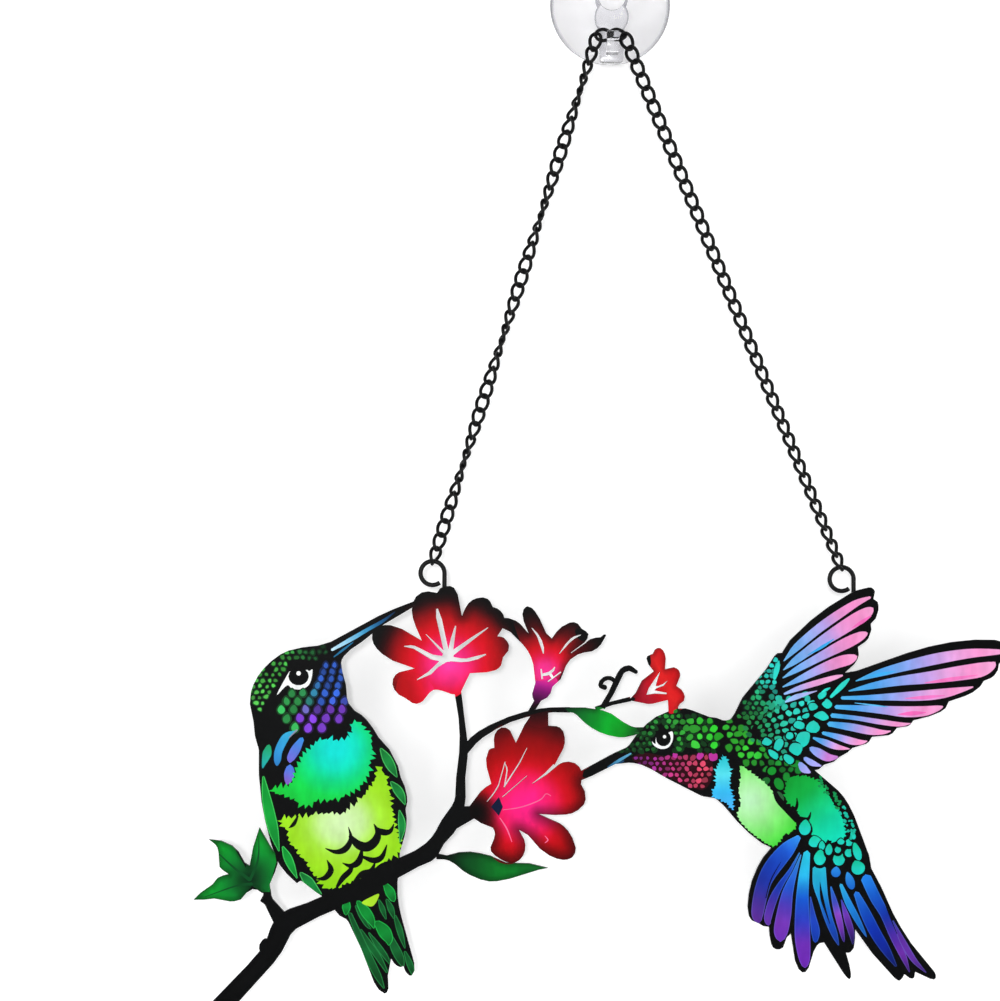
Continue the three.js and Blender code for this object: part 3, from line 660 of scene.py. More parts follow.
def dark_rimmed(color, reach, least):
    """The same colour, darker within reach of the sheet's outer rim."""
    def toned(place):
        near = min(rim_tree.find((place.x, place.y, 0))[2] / reach, 1.0)
        return color(place) * (least + (1 - least) * near)
    return toned


def dimmed(color, centre, reach):
    """The same colour, fading to black at a centre."""
    centre = Vector(centre)

    def toned(place):
        share = min((place - centre).length / reach, 1.0)
        return color(place) * share * share
    return toned


grey_run = along((0, 0), (1, 0), "#000000", "#ffffff")
print("halfway from black to white:", [round(c, 3) for c in linear(grey_run(Vector((0.5, 0))))])

# %% [markdown]
# A painter of such sheets lays one colour over another, so the order matters. The list below keeps
# every area with its colour in the order of painting, and the last one over a place wins. Helpers add
# a row of feathers, feathers with a thin bright edge, or a patch of scales.

# %% The list of painted areas
BLACK = "#030405"
WHITE = "#f2f5f4"
BRIGHT_WHITE = "#f8faf9"
FEATHER_EDGE = 0.9
LEAST_HALF = 0.1
SCALE_JITTER = 0.7
SCALE_CHANCE = 0.93
TONES = (0.7, 1.15)
BREADTHS = (0.72, 1.04)
STRETCHES = (0.85, 1.35)
TILTS = (-0.9, 0.9)
ROW_STEP = 0.86
painted = []


def paint(area, color):
    painted.append((area, color))


def paint_feathers(spines, *codes):
    for spine in spines:
        paint(feather(*spine), along(spine[0][:2], spine[-1][:2], *codes))


def paint_edged(spines, spread, edge_code, *codes):
    """Feathers with a thin brighter edge. spread widens them all."""
    for spine in spines:
        wide = [(a, d, half * spread) for a, d, half in spine]
        slim = [(a, d, max(half * spread - FEATHER_EDGE, LEAST_HALF)) for a, d, half in spine]
        paint(feather(*wide), plain(edge_code))
        paint(feather(*slim), along(spine[0][:2], spine[-1][:2], *codes))


def paint_scales(area, spacing, size, color, seed, clear_of=(), fill=0.98):
    """Fills an area with rows of scales, spacing apart. size gives a scale's breadth at its place."""
    dice = random.Random(seed)
    low_a, high_a = min(p.x for p in area), max(p.x for p in area)
    low_d, high_d = min(p.y for p in area), max(p.y for p in area)
    down, row, count = low_d, 0, 0
    while down < high_d:
        across = low_a + (row % 2) * spacing / 2
        while across < high_a:
            place = Vector((
                across + dice.uniform(-SCALE_JITTER, SCALE_JITTER),
                down + dice.uniform(-SCALE_JITTER, SCALE_JITTER),
            ))
            clear = all((place - Vector(c[:2])).length > c[2] for c in clear_of)
            if clear and inside(place, area) and dice.random() < SCALE_CHANCE:
                tone = color(place) * dice.uniform(*TONES)
                breadth = size(place) * fill * dice.uniform(*BREADTHS)
                stretch = dice.uniform(*STRETCHES)
                tilt = dice.uniform(*TILTS)
                paint(pebble(place, breadth, dice, stretch, tilt), even(tone))
                count += 1
            across += spacing
        down += spacing * ROW_STEP
        row += 1
    return count


print("areas so far:", len(painted))

# %% [markdown]
# ## The flowers and leaves
#
# The flowers go on first, because their colours reach under everything else. Each flower glows pink
# at its heart, turns red along its petals and ends in black. Only the part of an area that lies on
# the sheet is kept, so an area may reach past the flower's own edge.

# %% Open flower and trumpet flower
open_flower = rounded(
    (376, 618), (408, 628), (404, 598), (436, 580), (470, 590), (505, 600), (513, 650), (500, 678),
    (480, 683), (464, 692), (450, 699), (428, 700), (412, 712), (388, 690), (392, 668), (365, 640),
)
paint(open_flower, dark_rimmed(outwards(
    (449, 664), (4, "#ff3a9c"), (20, "#ee2470"), (34, "#dc0c28"), (47, "#b80812"),
    (58, "#7c050c"), (67, "#2c0205"), (76, BLACK), flat=1.06,
), reach=11, least=0.45))
left_low_petal = rounded((398, 680), (412, 672), (428, 680), (434, 694), (418, 712), (398, 704))
paint(left_low_petal, dark_rimmed(along(
    (434, 682), (396, 694), "#ee1c68", "#d8102a", "#b40812", "#a40a11",
), reach=11, least=0.5))

trumpet_flower = rounded(
    (520, 596), (545, 622), (570, 612), (585, 618), (612, 630), (600, 652), (566, 668), (556, 690),
    (548, 704), (534, 706), (528, 690), (532, 668), (518, 636), (510, 606),
)
paint(trumpet_flower, dark_rimmed(outwards(
    (545, 672), (0, "#f02f8e"), (9, "#e82d80"), (16, "#dc1648"), (25, "#c80a1a"),
    (35, "#8c0812"), (46, "#480409"), (64, BLACK),
), reach=7, least=0.55))
calyx = rounded((529, 680), (541, 681), (556, 678), (558, 692), (550, 706), (534, 708), (527, 694))
paint(calyx, along((546, 678), (539, 706), "#e02a82", "#b41c8c", "#780e68", "#480640", "#200318"))
paint(rounded((576, 629), (588, 630), (590, 637), (583, 641), (577, 637)), plain(BLACK))
print("areas after two flowers:", len(painted))

# %% [markdown]
# The low leaf lies behind the large red flower, so it is painted before it. The red flower fades to
# black where the stem carries it, and thin veins run out from its heart. The small flower has petals
# of an even red.

# %% Low leaf, red flower and small flower
low_leaf = rounded((440, 853), (470, 848), (510, 858), (552, 868), (520, 880), (480, 884), (452, 868))
paint(low_leaf, dark_rimmed(along(
    (440, 856), (548, 868), "#010a05", "#033e18", "#055a1e", "#067a24", "#0a7428", "#1a8434",
), reach=6, least=0.6))
red_flower = rounded(
    (534, 706), (550, 706), (575, 724), (568, 755), (590, 768), (594, 812), (560, 820), (590, 856),
    (565, 872), (530, 842), (526, 856), (512, 864), (497, 861), (484, 846), (480, 836), (470, 812),
    (476, 790), (482, 745), (494, 720), (512, 730),
)
paint(red_flower, dimmed(dark_rimmed(outwards(
    (526, 806), (0, "#ff1e86"), (14, "#fa1e7c"), (28, "#ea1658"), (41, "#cc081c"), (54, "#a40409"),
    (68, "#860207"), (84, "#3c0204"), (96, BLACK),
), reach=12, least=0.5), centre=(476, 812), reach=24))
paint(
    rounded((534, 706), (549, 706), (552, 722), (540, 728), (528, 722)),
    along((540, 708), (540, 728), "#100204", "#5c0208"),
)
paint([Vector((a, d, 0)) for a, d in ((491, 807), (499, 797), (503, 807), (499, 816))], plain("#0c1634"))
for vein in (
    [(503, 810, 0.3), (522, 807, 0.5), (540, 800, 0.5), (546, 794, 0.4), (551, 796, 0.3)],
    [(500, 818, 0.4), (507, 829, 0.7), (512, 842, 0.3)],
    [(545, 836, 0.3), (548, 840, 0.6), (545, 843, 0.3)],
):
    paint(feather(*vein), plain("#e86a96"))

small_flower = rounded(
    (628, 694), (650, 668), (650, 645), (668, 645), (670, 662), (686, 668), (690, 700), (671, 714),
    (664, 703), (640, 706),
)
paint(small_flower, dark_rimmed(along(
    (636, 700), (676, 680), "#8c0418", "#a81629", "#c40a1c", "#d82020", "#cc1018",
), reach=5, least=0.7))
print("areas after the flowers:", len(painted))

# %% [markdown]
# A leaf is darkest at its stalk and at its rim. The three lobes meet at one point, so their colour
# runs outwards from there and a darker rib follows each lobe. The thin stems are painted black last,
# because the colour of a flower or leaf reaches over them.

# %% Leaves and stems
three_lobe_leaf = [Vector((a, d, 0)) for a, d in (
    (186, 824), (222, 826), (246, 868), (254, 824), (261, 824), (275, 853), (276.5, 862), (273, 874),
    (270, 892), (262, 892), (252, 886), (238, 904), (188, 905), (186, 897), (214, 872),
)]
paint(three_lobe_leaf, dark_rimmed(outwards(
    (250, 879), (2, "#032814"), (12, "#054c1e"), (26, "#07822c"), (42, "#0a9c2c"), (64, "#0c6a24"),
), reach=5, least=0.6))
for rib in (
    [(250, 880, 1.6), (258, 860, 1.0), (259, 836, 0.3)],
    [(250, 880, 1.8), (232, 866, 1.0), (210, 845, 0.3)],
    [(252, 884, 1.6), (236, 886, 0.9), (205, 897, 0.3)],
):
    paint(feather(*rib), plain("#064a20"))
high_leaf = rounded((566, 706), (600, 707), (632, 722), (640, 731), (620, 740), (592, 732), (570, 713))
paint(high_leaf, dark_rimmed(along(
    (562, 708), (640, 732), "#05301a", "#086024", "#058426", "#04a228", "#08901f", "#053c16",
), reach=5, least=0.6))
for stem in (
    [(461, 754, 4.4), (472, 741, 5.2), (486, 729.5, 5.4), (500, 721, 4.2), (520, 714.5, 3.2),
     (542, 709, 3)],
    [(586, 775, 5), (595, 770, 5), (606, 765, 5)],
    [(542, 709, 3), (566, 706, 2.4), (585, 703.5, 2.4), (604, 702.5, 2.4), (624, 701, 2.4),
     (634, 699, 2)],
    [(600, 705, 2), (610, 690, 3), (616, 680, 3)],
):
    paint(feather(*stem), plain(BLACK))
print("areas after the leaves:", len(painted))

# %% [markdown]
# ## The sitting bird
#
# This bird has a green crown, a throat of blue and violet scales, a bright breast with a ragged edge
# and a pale belly. Dark crescents laid over the belly make its rows of feathers. The branch crosses
# in front of the bird, so it is painted black after the belly and the tail.

# %% Crown, eye and beak of the sitting bird
crown = rounded(
    (253, 707), (250, 694), (254, 681), (262, 670), (274, 660), (290, 651), (312, 647), (330, 648),
    (326, 660), (308, 663), (292, 667), (280, 680), (272, 694), (264, 708),
)
crown_green = along((262, 700), (332, 652), "#4cae46", "#4fc34a", "#44b446", "#1d6030", "#113a20")
dark_green = along((262, 700), (332, 652), "#123c1a", "#12451a", "#0e3418", "#0a2412")
paint_scales(crown, spacing=6.6, size=lambda p: 6.6, color=dark_green, seed=3, fill=1.0)
scales = paint_scales(
    crown, spacing=6.6, size=lambda p: 5.9 if p.x < 305 else 4.8, color=crown_green, seed=3, fill=0.74,
)
eye_of_sitter = rounded(
    (277, 695), (284, 681), (292, 669), (303, 667), (309, 671), (312.5, 669.5), (311.5, 679),
    (308, 686), (300, 689.5), (292, 688.5), (287, 685.5),
)
paint(eye_of_sitter, plain(WHITE))
paint(ring_of((298.7, 676.5), 20.5, 18), plain(BLACK))
paint(rounded((290, 661), (305, 660), (308, 669), (299, 671), (289, 671)), plain(BLACK))
paint(ring_of((298.7, 673.4), 4.6, 4.6, 10), plain(BRIGHT_WHITE))
paint(
    feather((332, 650, 1.3), (350, 640, 2.1), (368, 629.5, 1.8), (383, 621, 1.5), (395, 612, 0.5)),
    along((332, 650), (395, 612), "#bfe2f2", "#8cc8e6", "#3f96c4", "#1c5c90", "#0c2440"),
)
paint(feather((334, 657, 0.5), (343, 650, 1.1), (353, 642.5, 0.4)), plain("#23709c"))
print("crown scales:", scales)

# %% [markdown]
# The throat's scales lie in rows like a fish's, and each is a light drop on a darker one of the same
# hue. The rows are laid by a loop from the beak down, and each row's scales are a little larger. A
# few long feathers hang below the throat.

# %% Throat of the sitting bird
GREEN, TEAL, BLUE, VIOLET = "#2f9a4c", "#2f8c9a", "#2c55b4", "#6a35b0"
THROAT_LEFT, THROAT_RIGHT, THROAT_TOP, THROAT_FOOT = 281, 348, 665.0, 738
TOP_SCALE = 6.6
SCALE_GROWTH = 0.055
SCALE_HEIGHT = 1.08
ROW_SHIFT = 0.62
STEP_ACROSS = 1.36
STEP_DOWN = 0.98
GROUND_MARGIN = 1.2
GROUND_TONE = 0.42
SPOT_SHORTER = 1.8
throat_of_sitter = [Vector((a, d, 0)) for a, d in (
    (281, 702), (283, 692), (296, 693), (309, 688), (315, 676), (320, 668), (327, 661), (334, 662),
    (346, 664), (347, 690), (347, 712), (338, 722), (318, 730), (310, 738), (300, 733), (288, 724),
    (281, 714),
)]


def throat_shade(place):
    """Green at the cheek, then teal, then blue, and violet along the foot."""
    stops = [(284, shade(GREEN)), (302, shade(GREEN)), (312, shade(TEAL)), (321, shade(BLUE))]
    across = mixed(stops, place.x)
    foot = min(max((place.y - 704 + (place.x - 300) * 0.12) / 9, 0.0), 1.0) if place.x > 296 else 0.0
    return across.lerp(shade(VIOLET), foot)


throat_dice = random.Random(11)
down, row = THROAT_TOP, 0
while down < THROAT_FOOT:
    breadth = TOP_SCALE + (down - THROAT_TOP) * SCALE_GROWTH
    across = THROAT_LEFT + (row % 2) * breadth * ROW_SHIFT
    while across < THROAT_RIGHT:
        if inside((across, down), throat_of_sitter):
            tone = throat_shade(Vector((across, down)))
            high = breadth * SCALE_HEIGHT
            ground = drop_scale((across, down), breadth + GROUND_MARGIN, high + GROUND_MARGIN)
            paint(ground, even(tone * GROUND_TONE))
            light = tone * throat_dice.uniform(0.8, 1.3)
            spot = across + throat_dice.uniform(-0.5, 0.5), down + throat_dice.uniform(-0.4, 0.6)
            lean = throat_dice.uniform(-0.35, 0.35)
            smaller = throat_dice.uniform(1.2, 2.6)
            paint(drop_scale(spot, breadth - smaller, high - SPOT_SHORTER, lean), even(light))
        across += breadth * STEP_ACROSS
    down += breadth * STEP_DOWN
    row += 1
DROP_SPREAD = 1.15
for drop, top, foot in (
    ([(295, 731, 0.3), (286, 737, 3.2), (279, 750, 3.4), (277.5, 760, 3), (277, 765, 1.2)],
     "#35b0d8", "#2c7cc4"),
    ([(302, 739, 2), (296, 749, 4), (291, 758, 3.4), (290, 762, 1.4)], "#3a8ce0", "#7468d8"),
    ([(290, 767, 3), (289.5, 774, 4.6), (288, 781, 3), (287, 784, 1)], "#4a7ce0", "#8a5cc4"),
    ([(269, 746, 1.8), (267, 754, 3.8), (263.5, 765, 1.4), (263, 768, 0.5)], "#20a86c", "#20a8b0"),
):
    wider = [(a, d, half * DROP_SPREAD) for a, d, half in drop]
    paint(feather(*wider), along(drop[0][:2], drop[-1][:2], top, foot))
paint(feather((297, 730, 0.9), (289, 738, 0.4)), plain("#8c8fa8"))
print("areas after the throat:", len(painted))

# %% [markdown]
# The breast and the belly are two broad patches whose edges end in tufts. Both colours run outwards
# from a bright middle. Black crescents part the belly into rows, and narrow feathers with a thin
# bright edge follow the bird's sides.

# %% Breast and belly of the sitting bird
breast = rounded(
    (313, 745), (320, 739), (338, 740), (352, 735), (351, 724), (357, 721), (366, 730), (372, 741),
    (371, 762), (367, 775), (357, 788), (338, 799), (316, 801), (304, 806), (290, 797), (274, 793),
    (273, 787), (290, 786), (297, 770), (303, 756),
)
paint(ragged(breast, tooth=5.6, depth=3.6, seed=5), outwards(
    (336, 748), (8, "#0cdcd0"), (22, "#08d6b4"), (34, "#06d480"), (50, "#10d04a"), (74, "#18c43a"),
))
belly = rounded(
    (281, 819), (304, 817), (322, 813), (340, 814), (354, 805), (368, 791), (376, 778), (378, 766),
    (385, 776), (390, 792), (392, 812), (397, 832), (400, 850), (386, 862), (366, 874), (346, 884),
    (328, 889), (317, 878), (302, 856), (290, 842), (288, 832),
)
paint(ragged(belly, tooth=5.4, depth=3.0, seed=6), outwards(
    (342, 822), (6, "#cfeeb0"), (22, "#c2ea94"), (36, "#a4e23e"), (48, "#9cdc24"), (72, "#8cd414"),
    flat=1.1,
))
for crescent in (
    [(325.5, 848.5, 0.4), (336, 852, 2.2), (345.5, 849, 3.2), (351, 839, 2.2), (348.5, 827, 0.3)],
    [(350, 836, 1.8), (358, 844.5, 4.2), (367, 847, 4.8), (375, 841.5, 4.4), (378, 833, 3),
     (374, 824, 0.4)],
    [(375, 827, 0.8), (382, 832, 3.2), (390, 831.5, 2.4), (394, 824, 0.5)],
    [(342.5, 863, 0.4), (351, 866, 2.4), (359, 861.5, 3.4), (362, 850, 1.4)],
    [(316, 879, 0.5), (325, 878, 2.6), (331, 870, 3), (327, 860, 0.3)],
    [(363, 857, 1.4), (374, 860.5, 3), (382, 857, 2.6), (387, 845, 0.5)],
    [(337, 887, 1.4), (343, 878, 2.8), (350, 871, 2.6), (353, 864, 1)],
    [(354, 882, 1.2), (362, 874, 2.8), (371, 871, 2.6), (375, 863, 0.8)],
    [(374, 871, 1.4), (382, 866, 2.6), (390, 862, 1.4)],
    [(289, 828, 0.4), (294, 824, 2), (298, 816, 0.8)],
    [(286, 846, 2.2), (296, 856, 2.6), (306, 868, 2.4), (314, 880, 2)],
):
    paint(feather(*crescent), plain(BLACK))
SIDE_FEATHERS = (
    [(263.5, 777, 1), (266, 795, 3.6), (270, 815, 4.8), (274, 832, 4.2), (279, 851, 0.6)],
    [(283, 847, 1), (287, 856, 3.5), (291.5, 866, 3.3), (297, 878, 0.6)],
    [(301, 873.5, 1.6), (308, 881, 4.2), (315, 889, 3.2), (323, 896.5, 0.5)],
    [(381, 749, 1.2), (386.5, 758, 4), (392, 768, 3.7), (397, 777, 0.6)],
    [(391.5, 782.5, 1.4), (397, 789, 3.8), (401.5, 796, 3.4), (405, 804.5, 0.6)],
    [(399.5, 810.5, 0.7), (401.5, 820, 3), (402, 829, 3), (400, 842, 0.6)],
)
SIDE_SPREAD = 1.15
paint_edged(SIDE_FEATHERS[:2], SIDE_SPREAD, "#3cc858", "#0c8a30", "#10a038", "#0c7a2c")
paint_edged(SIDE_FEATHERS[2:], SIDE_SPREAD, "#44bc5c", "#0f6a2c", "#178a3c", "#0e5c28")
print("areas after the belly:", len(painted))

# %% [markdown]
# The tail hangs below the branch as a bundle of narrow dark feathers with a few brighter ones at its
# root. The branch is one long feather shape in black, painted last so that it covers the bird.

# %% Tail of the sitting bird, and the branch in front
TAIL_OF_SITTER = (
    [(350, 914, 2.2), (360, 938, 3.6), (369, 958, 4.2), (378, 976, 3.6), (384, 988, 1)],
    [(356, 906, 1.2), (361, 915, 2.6), (367, 925, 2), (371, 929, 0.5)],
    [(361, 930, 1.2), (370, 945, 3.2), (379, 958, 3.2), (387, 972, 1.4)],
    [(369, 933, 1), (378, 946, 3), (386, 957, 2.6), (390, 964, 0.8)],
    [(390, 936, 2.6), (395, 948, 4.6), (400, 958, 4.4), (403, 966, 1.8)],
    [(395, 916, 1.6), (399, 928, 3.2), (402, 938, 2.6), (405, 948, 0.8)],
    [(405, 952, 1.4), (409, 962, 3.2), (412, 970, 2.8), (413, 976, 1)],
    [(379, 900, 1), (382.5, 909, 3), (386, 919, 0.8)],
    [(387, 900, 1.6), (391, 909, 3.4), (394, 918, 1.2)],
)
BRIGHT_TAIL_CELLS = (
    [(358, 902, 2.2), (365, 911, 5.4), (371, 920, 4.4), (374, 928, 1)],
    [(377, 923, 3.6), (384, 931, 6.8), (388.5, 939, 5), (389, 945, 1.2)],
    [(347, 900, 2.4), (346.5, 907, 4.6), (346, 914, 2)],
    [(385, 884, 2.4), (390, 892, 5.2), (393.5, 900, 3)],
    [(399, 884, 1.4), (401, 893, 3), (402, 904, 1.6)],
)
paint_edged(TAIL_OF_SITTER, 0.98, "#1f7a3c", "#0c4a22", "#10602c", "#093a1a")
paint_edged(BRIGHT_TAIL_CELLS, 0.95, "#1cac44", "#087028", "#0c8c34", "#086024")
paint(rounded((362, 902.5), (371, 897), (379, 894), (377, 901), (373, 906), (368, 906)), plain("#a8dc2c"))
branch = feather(
    (255, 930, 9), (290, 914, 8.7), (322, 903, 8.4), (350, 893, 8.4), (380, 878, 8.6), (397, 869, 8.6),
    (416, 859, 8),
)
paint(branch, plain(BLACK))
print("areas after the sitting bird:", len(painted))

# %% [markdown]
# ## The hovering bird
#
# This bird has its wings up and its tail spread. Its long wing feathers run from blue through lilac
# to pink. Its throat is rose on a dark red ground, its wing roots are turquoise scales, and its tail
# feathers run from cyan through deep blue to violet.

# %% Head and throat of the hovering bird
throat = rounded(
    (632, 758), (645, 753), (664, 756), (684, 756), (700, 753), (709, 754), (713, 765), (712, 779),
    (705, 789), (696, 789), (676, 781), (658, 772), (642, 766),
)
paint(throat, plain("#2c0410"))
rose = along((632, 764), (716, 766), "#6c2474", "#982c8c", "#b83474", "#c44060", "#c8445a")
scales = paint_scales(
    throat, spacing=6.4, size=lambda p: 4.8 + (p.x - 632) / 34, color=rose, seed=21, fill=0.8,
)
pink_dice = random.Random(4)
for spot, breadth in (((675, 755), 6), ((700, 756), 7), ((713, 757), 8.5)):
    paint(pebble(spot, breadth, pink_dice), plain("#b8329a"))
head = rounded(
    (618, 748), (628, 738), (640, 725), (652, 716), (670, 711), (690, 712), (708, 719), (718, 724),
    (719, 742), (714, 752), (700, 750), (684, 750), (664, 753), (645, 750), (630, 756),
)
head_green = along((622, 748), (716, 728), "#123f20", "#1f6a2c", "#2c9438", "#38b838", "#2cc42c")
AROUND_EYE = ((664, 740, 13),)
paint_scales(
    head, spacing=6.6, size=lambda p: 7.0, color=plain("#0d3416"), seed=8, clear_of=AROUND_EYE,
)
scales += paint_scales(
    head, spacing=6.4, size=lambda p: 4.4 + max(0.0, (p.x - 640) / 30) if p.x < 684 else 0.0,
    color=head_green, seed=8, clear_of=AROUND_EYE, fill=0.84,
)
back_of_head = rounded(
    (688, 714), (700, 716), (712, 722), (722, 728), (723, 742), (718, 751), (704, 751), (688, 752),
    (686, 734),
)
scales += paint_scales(
    back_of_head, spacing=9.4, size=lambda p: 9.6, color=head_green, seed=12, fill=0.84,
)
eye_of_hoverer = rounded(
    (652, 741.5), (655.5, 744), (656, 738), (660, 732.2), (666.5, 733.4), (672.4, 731.6), (672.9, 740),
    (668.5, 747.4), (661, 749), (654.5, 746),
)
paint(eye_of_hoverer, plain(WHITE))
paint(ring_of((663.5, 738.6), 15, 15.6), plain(BLACK))
paint(ring_of((664.6, 736.8), 3.4, 3.4, 10), plain(BRIGHT_WHITE))
paint(
    feather((608, 767.5, 0.9), (620, 760, 1.5), (631, 753.5, 0.8)),
    along((608, 768), (631, 753), "#24587c", "#4c94bc", "#5ca4c8"),
)
paint(feather((600, 773, 0.4), (612, 767, 0.7), (624, 761, 0.5)), plain("#1c4c74"))
print("head and throat scales:", scales)

# %% [markdown]
# A blue collar, a pale green breast and a turquoise back are smooth patches with tufted edges, set
# off by the green scales of the shoulder between them. The scales are drawn twice with one seed: dark
# and wide first, then bright and narrow, so that each keeps a dark green rim.

# %% Neck, shoulder and breast of the hovering bird
collar = rounded(
    (724, 756), (729, 764), (731, 775), (730, 785), (732, 797), (734, 811), (726, 803), (712, 795),
    (716, 784), (716, 771), (720, 762),
)
paint(
    ragged(collar, tooth=3.4, depth=2.4, seed=9),
    along((722, 758), (722, 808), "#28c0cc", "#54d8e6", "#34b8ee", "#48b0f4"),
)
shoulder = rounded(
    (722, 723), (742, 722), (754, 732), (768, 742), (786, 752), (800, 764), (794, 778), (780, 774),
    (768, 770), (752, 766), (738, 758), (728, 746),
)
shoulder_green = along((724, 730), (800, 770), "#2fae30", "#35c030", "#1f8c30", "#127028")
paint_scales(shoulder, spacing=8.2, size=lambda p: 9.2, color=plain("#0c3414"), seed=31)
scales = paint_scales(shoulder, spacing=8.2, size=lambda p: 8.2, color=shoulder_green, seed=31, fill=0.9)
BODY_SCALES = (
    (766, 781, 10, 8, "#1c6c2c"), (779, 784, 10, 14, "#128a2c"), (780, 797, 8, 13, "#2c5c38"),
    (772, 771, 10, 9, "#14902c"),
)
BODY_SCALE_TILT = -0.5
for a, d, wide, high, code in BODY_SCALES:
    paint(ring_of((a, d), wide + 3, high + 3, 12, BODY_SCALE_TILT), plain(BLACK))
    paint(ring_of((a, d), wide - 1, high - 1, 12, BODY_SCALE_TILT), plain(code))
flank = rounded(
    (741, 766), (754, 775), (768, 786), (776, 798), (786, 809), (796, 821), (793, 831), (784, 835),
    (775, 846), (762, 840), (747, 828), (738, 816), (741, 803), (739, 790), (741, 778),
)
paint(ragged(flank, tooth=4.2, depth=1.4, seed=14), outwards(
    (750, 800), (4, "#b6ecb8"), (16, "#a8eaa0"), (28, "#8ae67e"), (40, "#6ade5c"), (54, "#3ccc34"),
))
paint(feather((773, 786, 1), (778, 799, 3), (787, 809, 3.4), (797, 821, 2.4)), plain(BLACK))
back_patch = rounded(
    (788, 779), (800, 776), (814, 779), (824, 788), (834, 804), (842, 818), (845, 834), (841, 843),
    (828, 840), (818, 843), (812, 836), (811, 822), (800, 817), (795, 806), (788, 803), (785, 792),
)
paint(
    ragged(back_patch, tooth=4.0, depth=1.8, seed=15),
    along((790, 782), (836, 838), "#0c9c34", "#0cae44", "#0ec074", "#0aca98", "#0ad4b0"),
)
for hook_line in (
    [(797, 798, 0.4), (797, 806, 1.6), (793, 812, 1.8), (788, 812, 1)],
    [(811, 812, 0.4), (808, 819, 1.8), (800, 818, 1.6)],
):
    paint(feather(*hook_line), plain(BLACK))
print("shoulder scales:", scales)

# %% [markdown]
# Where the wings leave the body, small turquoise scales spread out in rings, and each ring's scales
# are larger than the last. A loop over rings round one centre gives that fan. The largest scales, at
# the foot of the long feathers, are few enough to be placed one by one.

# %% Wing roots of the hovering bird
upper_root = rounded(
    (741, 712), (752, 690), (764, 668), (777, 655), (780, 668), (776, 684), (782, 702), (779, 714),
    (758, 716),
)
lower_root = rounded(
    (752, 728), (766, 716), (788, 706), (806, 698), (822, 688), (832, 694), (826, 708), (818, 724),
    (806, 746), (796, 760), (778, 756), (766, 744), (756, 738),
)
nape = rounded(
    (736, 718), (748, 711), (764, 714), (772, 717), (762, 726), (756, 736), (764, 745), (756, 744),
    (744, 730),
)
nape_green = along((738, 716), (768, 740), "#2c9a3c", "#238a4c", "#1f8c60")
paint_scales(nape, spacing=6.8, size=lambda p: 6.2, color=nape_green, seed=44, fill=0.9)
root_color = along((748, 712), (786, 680), "#1f7c38", "#1f9a60", "#24b4a4", "#28c4b8")
paint_scales(upper_root, spacing=6.2, size=lambda p: 7.4, color=plain("#06281e"), seed=41)
scales = paint_scales(
    upper_root, spacing=6.2, size=lambda p: 5.2 + max(0.0, (p.x - 756) / 10), color=root_color,
    seed=41, fill=0.9,
)


FAN_GAP = 1.12
FAN_TONES = (0.8, 1.1)
FAN_BREADTHS = (0.8, 0.98)
FAN_STRETCHES = (1.0, 1.45)


def fan_scales(centre, rings, color, seed):
    """Scales in rings round a centre. A ring is its radius, first and last angle, and scale size."""
    dice = random.Random(seed)
    count = 0
    for radius, first, last, breadth in rings:
        steps = max(1, round((last - first) * radius / (breadth * FAN_GAP)))
        for i in range(steps + 1):
            turn = first + (last - first) * i / steps
            place = Vector((centre[0] + radius * math.cos(turn), centre[1] + radius * math.sin(turn)))
            tone = color(place) * dice.uniform(*FAN_TONES)
            size = breadth * dice.uniform(*FAN_BREADTHS)
            form = pebble(place, size, dice, dice.uniform(*FAN_STRETCHES), turn)
            paint(form, even(tone))
            count += 1
    return count


paint(lower_root, plain(BLACK))
small_root = along((756, 724), (808, 712), "#1f8c48", "#24a880", "#2cc0ac", "#2ccabc")
scales += fan_scales((744, 738), (
    (20, -0.85, 0.35, 4.6), (27, -0.9, 0.5, 4.8), (34.5, -0.9, 0.55, 5.4), (42.5, -0.85, 0.5, 6.2),
    (51, -0.8, 0.1, 6.4), (59.5, -0.72, -0.2, 6.4), (67.5, -0.66, -0.42, 6.2), (75, -0.62, -0.48, 6.2),
), color=small_root, seed=42)
BIG_ROOT_SCALES = (
    (813, 727, 16, 13, 0.5), (822, 716, 14, 9, 0.1), (827, 704, 9, 9, -0.5), (822, 695, 10, 7, -0.7),
    (813, 707, 10, 8, -0.5), (803, 739, 13, 16, 0.6), (795, 749, 14, 13, 0.7), (789, 759, 13, 8, 0.6),
    (779, 745, 9, 12, 0.5), (767, 742, 10, 9, 0.6), (773, 754, 14, 8, 0.7), (799, 725, 11, 8, -0.1),
    (790, 736, 9, 8, 0.3), (806, 716, 8, 6, -0.3),
)
root_dice = random.Random(6)
for a, d, wide, high, tilt in BIG_ROOT_SCALES:
    paint(ring_of((a, d), wide + 2.6, high + 2.6, 12, tilt), plain(BLACK))
    form = pebble((a, d), high, root_dice, stretch=wide / high, tilt=tilt)
    paint(form, along((a, d - 6), (a, d + 6), "#2cc4b4", "#1cd0c0"))
paint_feathers((
    [(779, 661, 0.6), (777, 669, 2.7), (774.5, 679, 1.4)],
    [(849, 679, 1), (842, 686, 2.6), (831, 697, 1.4)],
    [(830, 688, 0.6), (826, 690, 1.4), (822, 692, 0.6)],
), "#2cccc0", "#2cd8c8")
print("wing root scales:", scales)

# %% [markdown]
# The long feathers are bands of colour on the black sheet, and the black left between them is the
# drawing's line. Each is a spine with half widths, and its colour runs from the root to the tip. A
# few thin streaks of a stronger hue keep the wings from looking printed.

